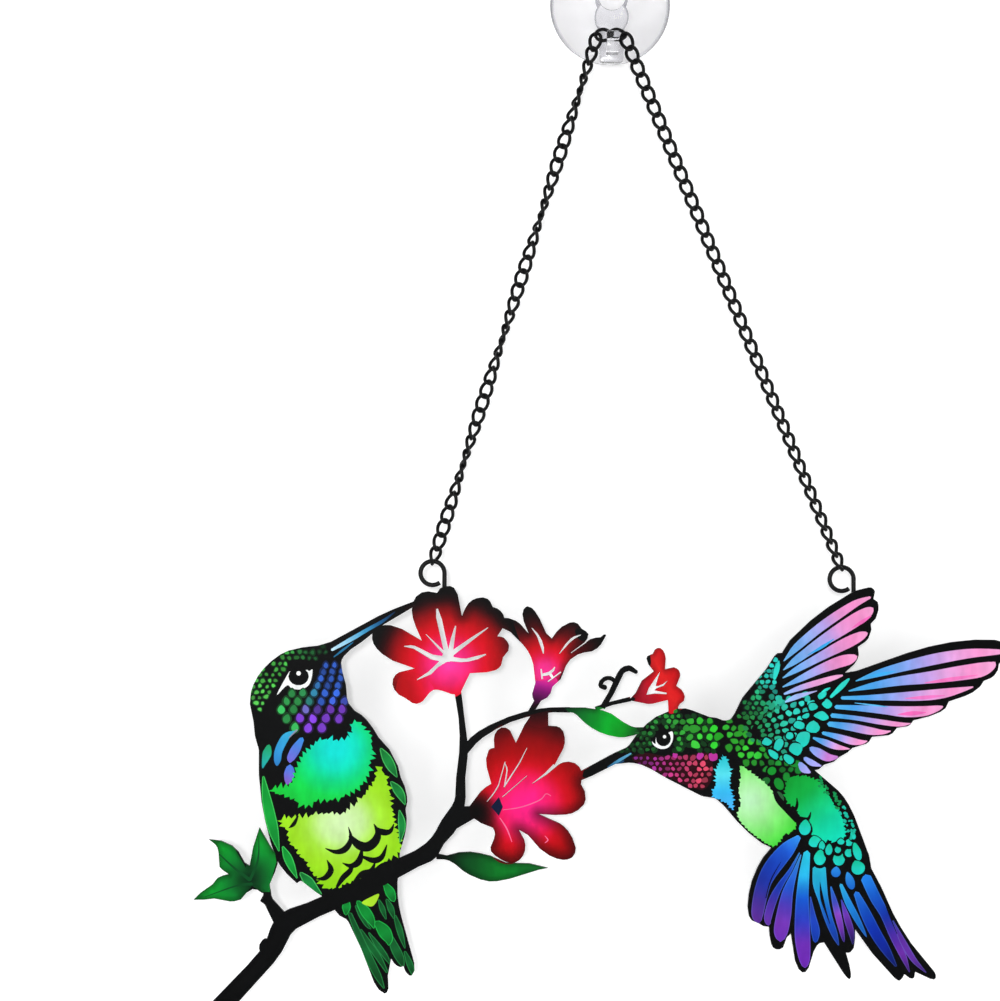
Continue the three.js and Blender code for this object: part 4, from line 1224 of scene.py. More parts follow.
# %% Long wing feathers of the hovering bird
UPPER_WING = (
    [(784, 661, 0.5), (793, 651, 3), (801, 643.5, 4), (819, 628.5, 4.4), (838, 615, 4.4),
     (856, 603.5, 3.4), (870, 597.5, 1.2)],
    [(783.5, 670, 0.5), (795, 661, 3.4), (808, 651.5, 4.4), (820, 643, 5.2), (840, 630, 6.4),
     (858, 618.5, 6.6), (868, 612, 5), (872, 609, 2.6)],
    [(783, 678, 0.5), (797, 669.5, 3), (820, 657, 4.2), (836, 648.5, 5.2), (850, 641.5, 5.6),
     (861, 636, 4.4), (866.5, 633.5, 2)],
    [(783, 687, 0.6), (800, 679, 3), (820, 669.5, 4.4), (838, 662.5, 5.6), (849, 659.5, 5.2),
     (855.5, 657, 2.8)],
    [(784.5, 694, 1), (800, 688, 2.6), (820, 682, 2.9), (835, 677.5, 2.2), (842.5, 675.5, 0.8)],
    [(785.5, 702, 0.8), (795, 697.5, 2.6), (806, 694, 1.6), (817, 691, 0.3)],
)
LOWER_WING = (
    [(856, 681, 0.5), (880, 673, 3.6), (910, 665, 5), (940, 658.2, 5.5), (970, 653.5, 4.6),
     (998, 652, 2.6), (1005, 652, 1)],
    [(849, 691, 0.6), (872, 686, 3.2), (900, 681, 4.6), (930, 677.5, 6), (958, 673.5, 7.2),
     (980, 670, 7.2), (991, 666, 4.6), (994.5, 663, 2)],
    [(842, 698, 1.6), (865, 697.8, 2.4), (890, 697, 3.6), (920, 695.8, 5), (943, 693.5, 4.8),
     (963, 689.5, 2.4), (973, 687, 0.6)],
    [(836, 707, 2), (860, 708.3, 3), (885, 710.2, 4.2), (905, 711.8, 5.4), (924, 711.2, 5),
     (937, 708.5, 3), (942.5, 706.8, 1)],
    [(832, 715.5, 2.2), (855, 718, 2.2), (880, 722, 2.6), (900, 724.5, 2.2), (910.5, 723.6, 0.4)],
    [(829, 724, 2.4), (850, 727, 3.8), (870, 731, 3.8), (883, 732.3, 2.2), (890.5, 731.2, 0.6)],
    [(823, 733, 1.6), (838, 737, 3), (851, 741, 3.6), (861, 742.3, 2.4), (867, 741.2, 0.6)],
    [(813.5, 738, 1), (825, 742.5, 3.2), (837, 747, 2.8), (849.5, 749, 0.5)],
    [(811, 748.5, 2.2), (818, 752.5, 4.4), (828, 757.5, 4), (837.5, 757.2, 1.2)],
    [(805, 758.5, 2), (812, 763, 3), (821, 766, 0.8)],
    [(800, 763.5, 2.2), (804, 769, 3.8), (810, 772.5, 1.2)],
)
BLUE_TO_PINK = ("#6cb4e6", "#68a6e6", "#90a8e8", "#b09ce2", "#e090cc", "#ee8cc6", "#f09ccc")
paint_feathers(UPPER_WING[:4], *BLUE_TO_PINK)
paint_feathers(UPPER_WING[4:5], "#8cb8ee", "#a8a8e8", "#e49cd4", "#f0a4d4", "#f0a8d4")
paint_feathers(UPPER_WING[5:], "#8cbcee", "#a0b0ea", "#b8b0e8")
paint_feathers(
    LOWER_WING[:8], "#4cb0e6", "#469ce2", "#7ca0e6", "#b49ce4", "#e2a0da", "#ee90c8", "#f2a6d4",
)
paint_feathers(LOWER_WING[8:9], "#7ea0ea", "#9a9ae8", "#c878cc", "#c880d0")
paint_feathers(LOWER_WING[9:], "#86a0ea", "#a0a4ec", "#a8a0ea")
for streak, code in (
    ([(808, 655, 0.3), (822, 647, 1.5), (834, 639, 0.4)], "#3aa4e6"),
    ([(852, 628, 0.3), (862, 622, 1.8), (871, 616, 0.6)], "#f26cbc"),
    ([(866, 676.5, 0.3), (882, 674, 1.4), (896, 671, 0.3)], "#3aaaea"),
    ([(925, 683, 0.4), (950, 679.5, 2), (978, 675, 0.4)], "#f276be"),
    ([(905, 698.5, 0.3), (925, 697.5, 1.9), (945, 695.5, 0.4)], "#ee78c4"),
    ([(898, 714.5, 0.3), (912, 713.5, 2.2), (926, 712.5, 0.4)], "#f068b8"),
    ([(855, 703, 0.3), (875, 705.5, 0.8), (888, 707, 0.3)], "#58b4ea"),
):
    paint(feather(*streak), plain(code))
print("long wing feathers:", len(UPPER_WING) + len(LOWER_WING))

# %% [markdown]
# Every feather of the spread tail has its own run of blues and violets, so its shades stand beside
# its spine. A wide shape in a paler tint goes under a slightly slimmer one, which leaves a thin light
# edge. Round scales cover the feathers' roots, and small dots follow the back.

# %% Tail of the hovering bird
TAIL = (
    ([(799, 837, 2), (789, 847.5, 6), (779, 859, 7.2), (770, 871, 7), (764, 883, 6.2), (760, 898, 6),
      (757.5, 914, 5.2), (758.5, 921, 3)],
     ("#2c8ce4", "#1a56cc", "#143cb0", "#1c309c", "#402c90", "#5c2c94")),
    ([(799.5, 853, 0.5), (790, 871, 1.6), (780.5, 885, 2.6), (773, 900, 3.6), (768, 917, 3.4),
      (768.5, 924, 2)],
     ("#2c80d8", "#1848b8", "#1634a4", "#442c9c", "#6430a4")),
    ([(801, 855, 0.5), (795, 872, 2), (790.5, 884, 3.6), (787, 896, 5), (784, 914, 6.3),
      (781, 931, 6.2), (780.5, 939, 3.6)],
     ("#3a90d8", "#2468cc", "#2050c4", "#4a38b4", "#7034b0", "#6a2cae")),
    ([(807, 853, 2.8), (804.5, 872, 4.3), (802.5, 896, 5.3), (802.3, 920, 6.4), (802.8, 940, 6.6),
      (804.5, 958, 5), (805, 966, 2.6)],
     ("#22bcd8", "#26b0e0", "#1258cc", "#2a3ab8", "#6a2cb0", "#6a26ac")),
    ([(810.5, 897, 0.5), (812.5, 914, 2.4), (815.5, 931, 3.8), (815.5, 941, 2)],
     ("#2440a8", "#1c40b4", "#1038a8")),
    ([(819.3, 868, 5.6), (820, 884, 6), (823.5, 900, 4.4), (828.4, 918, 3.6), (834.4, 934, 2.8),
      (838.5, 945, 0.6)],
     ("#20b4cc", "#1c9cd0", "#1668c4", "#1244ac", "#12308c")),
    ([(831, 887, 0.6), (835, 903, 2.5), (839.5, 921, 2.8), (843, 937, 1.6), (844.2, 942, 0.4)],
     ("#1c6cd0", "#3448b8", "#8040b8", "#6a30a4", "#30186a")),
    ([(841.5, 900, 0.5), (847, 918, 2.8), (851.5, 933, 2.6), (853, 944, 0.7)],
     ("#3a3cb0", "#6c34b0", "#4c2488", "#1c1248")),
    ([(841, 885, 1.4), (848, 902, 2.8), (857, 919, 2.6), (864.5, 933, 1.2), (866.5, 937, 0.3)],
     ("#24a4d8", "#1c88dc", "#146cc8", "#1050ac")),
    ([(856.5, 893.5, 2.4), (865, 912, 4.4), (875, 932, 4.8), (886, 950, 3.8), (896, 966, 1)],
     ("#1c6cd4", "#0e48b4", "#0a2ea8", "#0c2490", "#0a1660")),
    ([(866, 878, 4.6), (875.5, 898, 4.7), (884.5, 914, 3.9), (893.8, 936, 3.5), (903.3, 956, 2.8),
      (909.5, 972, 0.5)],
     ("#1c7ce0", "#1254c0", "#10309c", "#44289c", "#6a2ca4", "#3c1c6c")),
    ([(893, 921, 0.6), (903, 942, 2.6), (914, 960, 2.4), (926, 972.5, 0.5)],
     ("#2c3090", "#5c2c9c", "#6030a0", "#3c2070")),
)
TAIL_SPREAD = 1.16
TAIL_EDGE = 0.8
EDGE_TINT = shade("#7ab4f0")
EDGE_SHARE = 0.2
for spine, codes in TAIL:
    wide = [(a, d, half * TAIL_SPREAD) for a, d, half in spine]
    slim = [(a, d, max(half * TAIL_SPREAD - TAIL_EDGE, LEAST_HALF)) for a, d, half in spine]
    run = along(spine[0][:2], spine[-1][:2], *codes)
    paint(feather(*wide), lambda p, r=run: r(p).lerp(EDGE_TINT, EDGE_SHARE))
    paint(feather(*slim), run)
for split in (
    [(781, 862, 0.2), (771, 880, 0.6), (766, 898, 0.5)],
    [(820, 882, 0.2), (822, 898, 1.6), (826, 912, 0.9), (830, 924, 0.3)],
    [(882, 896, 0.2), (889, 914, 0.5), (897, 934, 0.3)],
):
    paint(feather(*split), plain(BLACK))
RUMP_SCALES = (
    (805, 828, 13, 15, 0.1), (815, 842, 14, 11, -0.2), (822, 846, 7, 9, 0), (820, 858, 13, 15, 0.1),
    (829, 850, 8, 11, 0.1), (839, 859, 13, 14, 0), (838, 850, 7, 7, 0.2), (849, 853, 9, 9, 0.2),
    (849, 843, 9, 7, 0), (857, 852, 9, 18, -0.3), (858, 868, 15, 14, -0.4), (841, 842, 8, 6, 0),
    (853, 836, 6, 8, -0.4),
)
for a, d, wide, high, tilt in RUMP_SCALES:
    paint(drop_scale((a, d + 0.8), wide + 3.6, high + 3.8, tilt), plain(BLACK))
    form = drop_scale((a, d - 0.4), wide - 0.6, high - 0.4, tilt)
    paint(form, along((a, d - 6), (a, d + 6), "#10c098", "#1cc8b4", "#18ccc0"))
for a, d, wide, high, tilt in ((836, 872, 10, 10, 0.1), (850, 881, 9, 17, -0.3)):
    paint(drop_scale((a, d + 0.8), wide + 3, high + 3, tilt), plain(BLACK))
    paint(drop_scale((a, d), wide, high, tilt), along((a, d - 7), (a, d + 7), "#2c8cdc", "#1460c4"))
back_dice = random.Random(23)
DOTS = 46
# The dots follow the back in a shallow bow, from its top down to the round scales.
for i in range(DOTS):
    share = i / (DOTS - 1)
    lane = back_dice.uniform(-3.2, 3.2)
    a = 818 + 36 * math.sin(share * 1.35) + lane
    d = 779 + 58 * share - lane * 0.6
    code = "#128c4c" if share < 0.5 else "#18b89c"
    paint(pebble((a, d), back_dice.uniform(2.0, 3.4), back_dice), plain(code))
print("painted areas in all:", len(painted))

# %% [markdown]
# ## From areas to a mesh
#
# A constrained Delaunay triangulation cuts the front into triangles that follow the sheet's outline
# and every area's edge. Each triangle takes the colour of the last area painted over it, and its
# corners carry the colour for their place, so a colour run is smooth across the triangles.

# %% Triangles that follow every area
FILL_SPACING = 4.5
FILL_ROW_STEP = 0.87
CUT_TOLERANCE = 1e-4


def fill_points(area):
    """Evenly spread points inside the sheet, which let a colour change smoothly."""
    low_x, high_x = min(p[0] for p in area), max(p[0] for p in area)
    low_z, high_z = min(p[1] for p in area), max(p[1] for p in area)
    step = FILL_SPACING * grid_step / MM
    border = [Vector((p[0], p[1])) for p in area]
    found = []
    z, row = low_z, 0
    while z < high_z:
        x = low_x + (row % 2) * step / 2
        while x < high_x:
            if inside((x, z), border):
                found.append((x, z))
            x += step
        z += step * FILL_ROW_STEP
        row += 1
    return found


def holds(area, places):
    """Which of the places lie inside the area, by the even-odd rule."""
    corners = np.array([(p[0], p[1]) for p in area])
    last = np.roll(corners, 1, axis=0)
    across, up = places[:, :1], places[:, 1:]
    spans = (corners[:, 1] > up) != (last[:, 1] > up)
    rise = np.where(last[:, 1] == corners[:, 1], 1.0, last[:, 1] - corners[:, 1])
    cross = (last[:, 0] - corners[:, 0]) * (up - corners[:, 1]) / rise + corners[:, 0]
    return (spans & (across < cross)).sum(axis=1) % 2 == 1


points, borders = [], []
painted_loops = [[on_sheet(p.x, p.y) for p in area] for area, _ in painted]
for loop in borders_of_sheet + painted_loops:
    start, size = len(points), len(loop)
    points.extend(loop)
    borders += [(start + i, start + (i + 1) % size) for i in range(size)]
points.extend(Vector(p) for p in fill_points(outlines[0]))
cut_points, _, cut_faces, _, _, _ = delaunay_2d_cdt(points, borders, [], 0, CUT_TOLERANCE, False)
middles = np.array([sum((cut_points[c] for c in face), Vector((0, 0))) / 3 for face in cut_faces])
on_metal = sum(holds(loop, middles).astype(int) for loop in borders_of_sheet) == 1
owners = np.full(len(cut_faces), -1)
for i, loop in enumerate(painted_loops):
    low_x, high_x = min(p.x for p in loop), max(p.x for p in loop)
    low_z, high_z = min(p.y for p in loop), max(p.y for p in loop)
    in_width = (middles[:, 0] > low_x) & (middles[:, 0] < high_x)
    in_height = (middles[:, 1] > low_z) & (middles[:, 1] < high_z)
    near = np.nonzero(on_metal & in_width & in_height)[0]
    if len(near):
        owners[near[holds(loop, middles[near])]] = i
triangles = [(cut_faces[i], int(owners[i])) for i in np.nonzero(on_metal)[0]]
print("triangles on the front:", len(triangles))

# %% [markdown]
# The front is joined to a plain back by a rim along the outline, which gives the sheet its real
# thickness. The front carries the colours. The rim and the back are plain black enamel.

# %% Build the painted sheet
RIM_TOLERANCE = 1e-6


def piece_from(builder, name):
    """Turns a finished bmesh into a piece of the scene, with every face looking outwards."""
    bmesh.ops.recalc_face_normals(builder, faces=builder.faces)
    mesh = bpy.data.meshes.new(name)
    builder.to_mesh(mesh)
    builder.free()
    piece = bpy.data.objects.new(name, mesh)
    bpy.context.scene.collection.objects.link(piece)
    return piece


def painted_sheet():
    builder = bmesh.new()
    layer = builder.loops.layers.float_color.new("paint")
    front = {}

    def front_vertex(index):
        if index not in front:
            x, z = cut_points[index]
            front[index] = builder.verts.new((x * MM, FRONT_Y, z * MM))
        return front[index]

    ground = plain(BLACK)
    for corners, owner in triangles:
        face = builder.faces.new([front_vertex(c) for c in corners])
        color = painted[owner][1] if owner >= 0 else ground
        for corner in face.loops:
            spot = to_grid(corner.vert.co.x / MM, corner.vert.co.z / MM)
            tone = [min(max(c, 0.0), 1.0) for c in color(spot)]
            corner[layer] = (*linear(tone), 1)
    rim_edges = [e for e in builder.edges if len(e.link_faces) == 1]
    back = {v: builder.verts.new((v.co.x, BACK_Y, v.co.z)) for e in rim_edges for v in e.verts}
    for edge in rim_edges:
        corner = edge.link_loops[0]
        first, second = corner.vert, corner.link_loop_next.vert
        builder.faces.new((second, first, back[first], back[second])).material_index = 1
    rim = list(back)
    number = {vertex: i for i, vertex in enumerate(rim)}
    spots = [Vector((v.co.x / MM, v.co.z / MM)) for v in rim]
    borders = [(number[a], number[b]) for a, b in (e.verts for e in rim_edges)]
    _, _, tiles, sources, _, _ = delaunay_2d_cdt(spots, borders, [], 0, RIM_TOLERANCE, True)
    for tile in tiles:
        corners = [rim[sources[c][0]] for c in tile]
        middle = sum((Vector((c.co.x, c.co.z)) for c in corners), Vector((0, 0))) / 3 / MM
        if sum(inside(middle, loop) for loop in borders_of_sheet) == 1:
            builder.faces.new([back[c] for c in corners]).material_index = 1
    return piece_from(builder, "painted_sheet")


sheet = painted_sheet()
sheet.data.materials.append(enamel)
sheet.data.materials.append(black_enamel)
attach(sheet, "root")
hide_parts("bird_sheet")
print("painted sheet faces:", len(sheet.data.polygons))

# %% [markdown]
# ## The chain
#
# A curb chain is made of oval links, each twisted by a quarter turn so that the chain lies flat. An
# array of one mesh link could make it, but here each link is its own closed curve with a round wire
# section, so a run can turn over on its way down. Two links lie level over the hook's peg, and from
# there each side runs straight down to its eye.

# %% Links and runs
LINK_WIRE = 1.2 * MM
LINK_PITCH = 4.87 * MM
TOP_LINK_PITCH = 4.55 * MM
TOP_LINK_X = -0.5 * MM
LINK_WIDTH = 4.95 * MM
LINK_OVERLAP = 0.3 * MM
LINK_SQUARENESS = 0.72
LINK_POINTS = 28
WIRE_ROUNDNESS = 3
QUARTER_TURN = math.pi / 2

left_low, left_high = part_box("chain_left")
right_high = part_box("chain_right")[1]
chain_y = (left_low.y + left_high.y) / 2
link_top_z = (left_high.z + right_high.z) / 2 - LINK_WIDTH / 2


def link_points(start, end, roll):
    """One twisted link between two places, rolled about the line between them."""
    middle = (start + end) / 2
    run = (end - start).normalized()
    across = Vector((-run.z, 0, run.x))
    reach = (end - start).length / 2 + LINK_WIRE / 2 - LINK_OVERLAP / 2
    found = []
    for i in range(LINK_POINTS):
        turn = math.tau * i / LINK_POINTS
        bend = math.copysign(abs(math.sin(turn)) ** LINK_SQUARENESS, math.sin(turn))
        side = (LINK_WIDTH - LINK_WIRE) / 2 * bend
        lean = roll + QUARTER_TURN / 2 * math.cos(turn)
        depth = Vector((0, side * math.sin(lean), 0))
        found.append(middle + run * reach * math.cos(turn) + across * side * math.cos(lean) + depth)
    return found


def wire_curve(name, lines, wire, closed, material):
    """Round wire along one or more lines, as one piece."""
    curve = bpy.data.curves.new(name, "CURVE")
    curve.dimensions = "3D"
    curve.bevel_depth = wire / 2
    curve.bevel_resolution = WIRE_ROUNDNESS
    curve.use_fill_caps = True
    for line in lines:
        spline = curve.splines.new("POLY")
        spline.points.add(len(line) - 1)
        for point, place in zip(spline.points, line):
            point.co = (*place, 1)
        spline.use_cyclic_u = closed
        spline.use_smooth = True
    curve.materials.append(material)
    piece = bpy.data.objects.new(name, curve)
    bpy.context.scene.collection.objects.link(piece)
    return piece


def chain_run(name, side, last, end_roll):
    centre = Vector((TOP_LINK_X, chain_y, link_top_z))
    shoulder = centre + Vector((side * TOP_LINK_PITCH, 0, 0))
    count = round((last - shoulder).length / LINK_PITCH)
    lines = [link_points(centre, shoulder, 0)]
    for i in range(count):
        start = shoulder.lerp(last, i / count)
        end = shoulder.lerp(last, (i + 1) / count)
        lines.append(link_points(start, end, end_roll * (i + 1) / count))
    piece = wire_curve(name, lines, LINK_WIRE, True, black_steel)
    print(name, "has", len(lines), "links")
    return piece


print("a link is", round(LINK_PITCH / MM, 2), "mm from one crossing to the next")

# %% [markdown]
# The chain ends on two eyes, each a round wire bent into a nearly closed loop on a straight stem. The
# stem runs down behind the sheet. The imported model's box gives the eye's place, and the loop is
# worked out from its radius and its small opening.

# %% Eyes
EYE_WIRE = 1.55 * MM
EYE_RADIUS = 4 * MM
EYE_OPEN_ANGLE = 0.92
EYE_POINTS = 40
BEND_SPACE = 0.3 * MM


def eye_line(node):
    """The stem, then the loop, which ends just short of the stem."""
    low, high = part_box(node)
    stem_x = high.x - EYE_WIRE / 2
    middle_y = (low.y + high.y) / 2
    loop_z = high.z - EYE_WIRE / 2 - EYE_RADIUS
    line = [Vector((stem_x, middle_y, low.z)), Vector((stem_x, middle_y, loop_z - BEND_SPACE))]
    for i in range(EYE_POINTS + 1):
        turn = (math.tau - EYE_OPEN_ANGLE) * i / EYE_POINTS
        line.append(Vector((
            stem_x + EYE_RADIUS * (math.cos(turn) - 1), middle_y, loop_z + EYE_RADIUS * math.sin(turn),
        )))
    return line


eye_tops = {}
for side_name in ("left", "right"):
    node = "eye_" + side_name
    line = eye_line(node)
    eye = wire_curve("wire_" + node, [line], EYE_WIRE, False, black_steel)
    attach(eye, "root")
    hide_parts(node)
    low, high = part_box(node)
    eye_tops[side_name] = Vector((line[0].x - EYE_RADIUS, line[0].y, high.z - EYE_WIRE))
    print(node, "loop top at", [round(c / MM, 1) for c in eye_tops[side_name]])

# %% [markdown]
# Each run goes from the hook to the top of its eye's loop. The left run turns over twice on its way
# down and the right one hardly at all, as a light chain does when it is hung up by hand. So the left
# run shows its links now from the front and now from the edge.

# %% Hang the two runs
LEFT_ROLL = QUARTER_TURN / 2 + 2 * math.tau
RIGHT_ROLL = QUARTER_TURN / 2
LAST_LINK_RISE = LINK_WIRE * 0.2
for side_name, side, end_roll in (("left", -1, LEFT_ROLL), ("right", 1, RIGHT_ROLL)):
    last = eye_tops[side_name] + Vector((0, 0, LAST_LINK_RISE))
    run = chain_run("links_" + side_name, side, last, end_roll)
    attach(run, "root")
    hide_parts("chain_" + side_name)
    print(run.name, "ends at", [round(c / MM, 1) for c in last])

# %% [markdown]
# ## The suction cup
#
# A suction cup is turned about its own axis, so a profile swept round is the natural way to make it.
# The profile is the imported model's, drawn with softer bends: a thin lip on the glass, a dome, a neck
# and a round head.

# %% Suction cup
CUP_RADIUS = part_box("suction_cup")[1].x
CUP_DEPTH = -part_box("suction_cup")[0].y
CUP_SEGMENTS = 96
CUP_PROFILE = (
    (0.0, 13.8), (2.4, 13.8), (3.6, 13.55), (4.35, 12.9), (4.58, 12.1), (4.35, 11.45), (3.7, 11.05),
    (3.55, 10.8), (3.55, 8.2), (3.9, 7.4), (5.6, 6.1), (9.5, 4.0), (14.9, 2.15), (18.6, 1.35),
    (20.1, 0.95), (20.4, 0.5), (20.2, 0.1), (19.8, 0.0), (14.5, 0.0), (13.6, 0.25), (8.7, 1.04),
    (0.0, 1.3),
)


def turned_piece(name, profile, segments):
    """A profile of radius and distance in front of the glass, turned about the cup's axis."""
    builder = bmesh.new()
    rings = []
    for radius, front in profile:
        if radius == 0:
            rings.append([builder.verts.new((0, -front * MM, 0))])
        else:
            rings.append([
                builder.verts.new((
                    radius * MM * math.cos(math.tau * i / segments),
                    -front * MM,
                    radius * MM * math.sin(math.tau * i / segments),
                ))
                for i in range(segments)
            ])
    for first, second in zip(rings, rings[1:]):
        for i in range(segments):
            k = (i + 1) % segments
            around = (first, i), (first, k), (second, k), (second, i)
            corners = []
            for ring, place in around:
                corner = ring[place % len(ring)]
                if corner not in corners:
                    corners.append(corner)
            builder.faces.new(corners)
    for face in builder.faces:
        face.smooth = True
    return piece_from(builder, name)


cup = turned_piece("vinyl_cup", CUP_PROFILE, CUP_SEGMENTS)
cup.data.materials.append(clear_vinyl)
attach(cup, "root")
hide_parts("suction_cup")
print("cup radius", round(CUP_RADIUS / MM, 1), "mm, depth", round(CUP_DEPTH / MM, 1), "mm")

# %% [markdown]
# ## The hook
#
# The hook is moulded in one go: a ring that clips round the cup's neck, a round plate, a leg, and a
# peg with a low lip. Seen from the front it is the widest of three simple shapes at each height, so
# its outline is a half width worked out at many heights and mirrored.

# %% Hook
RING_RADIUS = 5.5
HOLE_RADIUS = 3.9
PLATE_RADIUS = 5.7
PLATE_DROP = 6.3
LEG_HALF = 4.0
LEG_DROP = 21.5
LEG_CORNER = 1.3
HOOK_ROWS = 80
HOLE_POINTS = 40
NARROWEST = 0.01
SLAB_TOLERANCE = 1e-5


def half_width(z):
    """The hook's half width at a height, the widest of ring, plate and leg."""
    ring = math.sqrt(max(0.0, RING_RADIUS ** 2 - z * z))
    plate = math.sqrt(max(0.0, PLATE_RADIUS ** 2 - (z + PLATE_DROP) ** 2))
    leg = 0.0
    if z <= -PLATE_DROP:
        into_corner = max(0.0, LEG_CORNER - (z + LEG_DROP))
        leg = LEG_HALF - LEG_CORNER + math.sqrt(max(0.0, LEG_CORNER ** 2 - into_corner ** 2))
    return max(ring, plate, leg)


def hook_outline():
    heights = [
        RING_RADIUS - (RING_RADIUS + LEG_DROP) * (1 - math.cos(math.pi * i / HOOK_ROWS)) / 2
        for i in range(HOOK_ROWS + 1)
    ]
    right = [(half_width(z), z) for z in heights if half_width(z) > NARROWEST]
    left = [(-x, z) for x, z in reversed(right)]
    return [(0.0, RING_RADIUS), *right, *left]


def flat_slab(name, loops, low_y, high_y):
    """A slab between two depths, from an outer loop and holes in the front view."""
    corners, areas = [], []
    for loop in loops:
        start = len(corners)
        corners.extend(Vector(p) for p in counterclockwise(loop))
        areas.append(list(range(start, len(corners))))
    spots, _, tiles, _, _, owners = delaunay_2d_cdt(corners, [], areas, 0, SLAB_TOLERANCE, True)
    builder = bmesh.new()
    front = [builder.verts.new((x * MM, low_y, z * MM)) for x, z in spots]
    for tile, owner in zip(tiles, owners):
        if owner == [0]:
            builder.faces.new([front[c] for c in tile])
    bmesh.ops.delete(builder, geom=[v for v in builder.verts if not v.link_faces], context="VERTS")
    grown = bmesh.ops.extrude_face_region(builder, geom=list(builder.faces))
    for item in grown["geom"]:
        if isinstance(item, bmesh.types.BMVert):
            item.co.y = high_y
    return piece_from(builder, name)


hook_low, hook_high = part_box("cup_hook")
hook_back_y = hook_high.y
HOOK_THICKNESS = 2.8 * MM
hole_turns = [math.tau * i / HOLE_POINTS for i in range(HOLE_POINTS)]
hole = [(HOLE_RADIUS * math.cos(turn), HOLE_RADIUS * math.sin(turn)) for turn in hole_turns]
hook = flat_slab("moulded_hook", [hook_outline(), hole], hook_back_y - HOOK_THICKNESS, hook_back_y)
print("hook outline points:", len(hook_outline()))

# %% [markdown]
# The chain hangs on a short peg that stands out from the leg and turns up into a low lip. It is drawn
# from the side, pushed out to its width and joined to the leg by a boolean union. A small bevel then
# rounds every sharp edge, because moulded plastic never has one.

# %% Peg of the hook, joined to its leg
PEG_TOP = -15.2
PEG_BOTTOM = -19.2
PEG_HALF = 2.0
LIP_TOP = -12.4
LIP_THICKNESS = 2.4
LIP_ROUND = 1.1
LIP_LEAN = 0.05
TOE_RADIUS = 2.2
FILLET_RADIUS = 0.9
ARC_STEPS = 8
EDGE_ROUND = 0.35 * MM
EDGE_SEGMENTS = 3
SHARP_ANGLE = math.radians(35)


def arc(centre, radius, start, end):
    """Places along a part of a circle, from one angle to another."""
    return [
        (
            centre[0] + radius * math.cos(start + (end - start) * i / ARC_STEPS),
            centre[1] + radius * math.sin(start + (end - start) * i / ARC_STEPS),
        )
        for i in range(ARC_STEPS + 1)
    ]


def peg_profile():
    """The peg from the side, as distance in front of the glass and height."""
    leg_y = -(hook_back_y - HOOK_THICKNESS / 2) / MM
    lip_front = -hook_low.y / MM
    lip_back = lip_front - LIP_THICKNESS
    middle = (lip_front + lip_back) / 2
    return [
        (leg_y, PEG_TOP),
        (leg_y, PEG_BOTTOM),
        *arc((lip_front - TOE_RADIUS, PEG_BOTTOM + TOE_RADIUS), TOE_RADIUS, -math.pi / 2, 0),
        *arc((middle + LIP_LEAN, LIP_TOP - LIP_ROUND), LIP_ROUND, 0, math.pi),
        *arc((lip_back - FILLET_RADIUS, PEG_TOP + FILLET_RADIUS), FILLET_RADIUS, 0, -math.pi / 2),
    ]


def peg_piece():
    builder = bmesh.new()
    profile = peg_profile()
    side = [builder.verts.new((-PEG_HALF * MM, -front * MM, z * MM)) for front, z in profile]
    face = builder.faces.new(side)
    grown = bmesh.ops.extrude_face_region(builder, geom=[face])
    for item in grown["geom"]:
        if isinstance(item, bmesh.types.BMVert):
            item.co.x = PEG_HALF * MM
    return piece_from(builder, "peg")


def apply_modifiers(piece):
    """Makes what the modifiers show into the piece's own mesh."""
    shape = bpy.data.meshes.new_from_object(piece.evaluated_get(bpy.context.evaluated_depsgraph_get()))
    piece.modifiers.clear()
    piece.data = shape


peg = peg_piece()
union = hook.modifiers.new("join", "BOOLEAN")
union.operation = "UNION"
union.object = peg
union.solver = "EXACT"
apply_modifiers(hook)
bpy.data.objects.remove(peg)
soften = hook.modifiers.new("soft_edges", "BEVEL")
soften.width = EDGE_ROUND
soften.segments = EDGE_SEGMENTS
soften.limit_method = "ANGLE"
soften.angle_limit = SHARP_ANGLE
apply_modifiers(hook)
hook.data.materials.clear()
hook.data.materials.append(clear_plastic)
for face in hook.data.polygons:
    face.use_smooth = True
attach(hook, "root")
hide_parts("cup_hook")
print("hook faces:", len(hook.data.polygons))

# %% [markdown]
# ## The stage
#
# The ornament is shown against a pale wall that it nearly touches, so a soft shadow falls just
# beside each shape. The wall is seen from its front alone and casts no shadow, so that the other
# views see the object's back. A pale floor lies below.

# %% Wall and floor
WALL_REACH = 2.0
FLOOR_Z = -0.40
WALL_Y = 0.6 * MM
WALL_GLOW = 0.42
WALL_COLOR = (0.77, 0.77, 0.77)
FLOOR_COLOR = (0.82, 0.82, 0.82)
STAGE_ROUGHNESS = 0.95


def stage_sheet(name, corners):
    mesh = bpy.data.meshes.new(name)
    mesh.from_pydata(corners, [], [range(4)])
    piece = bpy.data.objects.new(name, mesh)
    bpy.context.scene.collection.objects.link(piece)
    return piece


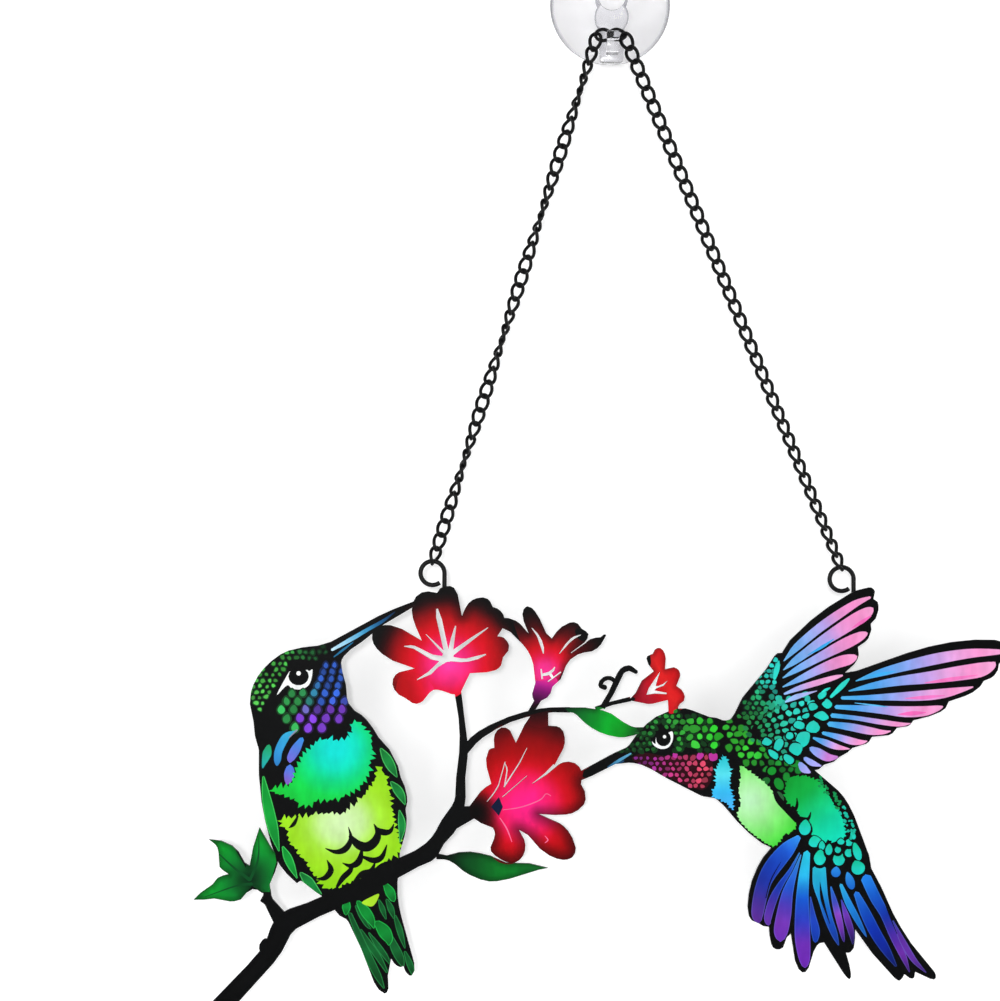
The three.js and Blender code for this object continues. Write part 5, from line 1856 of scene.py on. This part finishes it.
def stage_material(name, color, one_sided, glow=0.0):
    material = bpy.data.materials.new(name)
    material.use_nodes = True
    tree = material.node_tree
    shader = tree.nodes["Principled BSDF"]
    shader.inputs["Base Color"].default_value = (*color, 1)
    shader.inputs["Roughness"].default_value = STAGE_ROUGHNESS
    shader.inputs["Specular IOR Level"].default_value = 0.0
    shader.inputs["Emission Color"].default_value = (1, 1, 1, 1)
    shader.inputs["Emission Strength"].default_value = glow
    if one_sided:
        clear = tree.nodes.new("ShaderNodeBsdfTransparent")
        blend = tree.nodes.new("ShaderNodeMixShader")
        back = tree.nodes.new("ShaderNodeNewGeometry").outputs["Backfacing"]
        shadow = tree.nodes.new("ShaderNodeLightPath").outputs["Is Shadow Ray"]
        link_nodes(
            tree,
            (math_node(tree, "MAXIMUM", back, shadow), blend.inputs["Fac"]),
            (shader.outputs["BSDF"], blend.inputs[1]),
            (clear.outputs["BSDF"], blend.inputs[2]),
            (blend.outputs["Shader"], tree.nodes["Material Output"].inputs["Surface"]),
        )
    return material


wall = stage_sheet("wall", [
    (-WALL_REACH, WALL_Y, FLOOR_Z), (WALL_REACH, WALL_Y, FLOOR_Z),
    (WALL_REACH, WALL_Y, WALL_REACH), (-WALL_REACH, WALL_Y, WALL_REACH),
])
wall.data.materials.append(stage_material("wall_paint", WALL_COLOR, True, WALL_GLOW))
floor = stage_sheet("floor", [
    (-WALL_REACH, -WALL_REACH, FLOOR_Z), (WALL_REACH, -WALL_REACH, FLOOR_Z),
    (WALL_REACH, WALL_REACH, FLOOR_Z), (-WALL_REACH, WALL_REACH, FLOOR_Z),
])
floor.data.materials.append(stage_material("floor_paint", FLOOR_COLOR, False))
print("stage:", wall.name, floor.name)

# %% [markdown]
# ## The light
#
# A small light stands almost straight in front, a little to the left and above, and gives the soft
# shadow beside each shape. Two broad lights at the sides fill every shape evenly, and from there
# they don't mirror in the black gloss. A fourth stands behind for the other views.

# %% Lights and world
ROOM_COLOR = (0.93, 0.95, 0.97, 1)
ROOM_STRENGTH = 0.17


def soft_light(name, place, size, power):
    """A square light that looks at the middle of the picture. size is its side in metres."""
    data = bpy.data.lights.new(name, "AREA")
    data.size = size
    data.energy = power
    light = bpy.data.objects.new(name, data)
    bpy.context.scene.collection.objects.link(light)
    light.location = place
    target = Vector((CAMERA_X, 0, CAMERA_Z))
    light.rotation_euler = (target - Vector(place)).to_track_quat("-Z", "Y").to_euler()


soft_light("key", place=(-0.17, -1.75, 0.02), size=0.16, power=10.0)
soft_light("fill_left", place=(-1.6, -1.3, 0.3), size=1.3, power=13.0)
soft_light("fill_right", place=(1.6, -1.3, 0.1), size=1.3, power=13.0)
soft_light("behind", place=(0.5, 1.6, 0.5), size=1.0, power=20.0)
world = bpy.data.worlds.new("pale_room")
world.use_nodes = True
world.node_tree.nodes["Background"].inputs["Color"].default_value = ROOM_COLOR
world.node_tree.nodes["Background"].inputs["Strength"].default_value = ROOM_STRENGTH
bpy.context.scene.world = world
bpy.context.scene.view_settings.view_transform = "Standard"
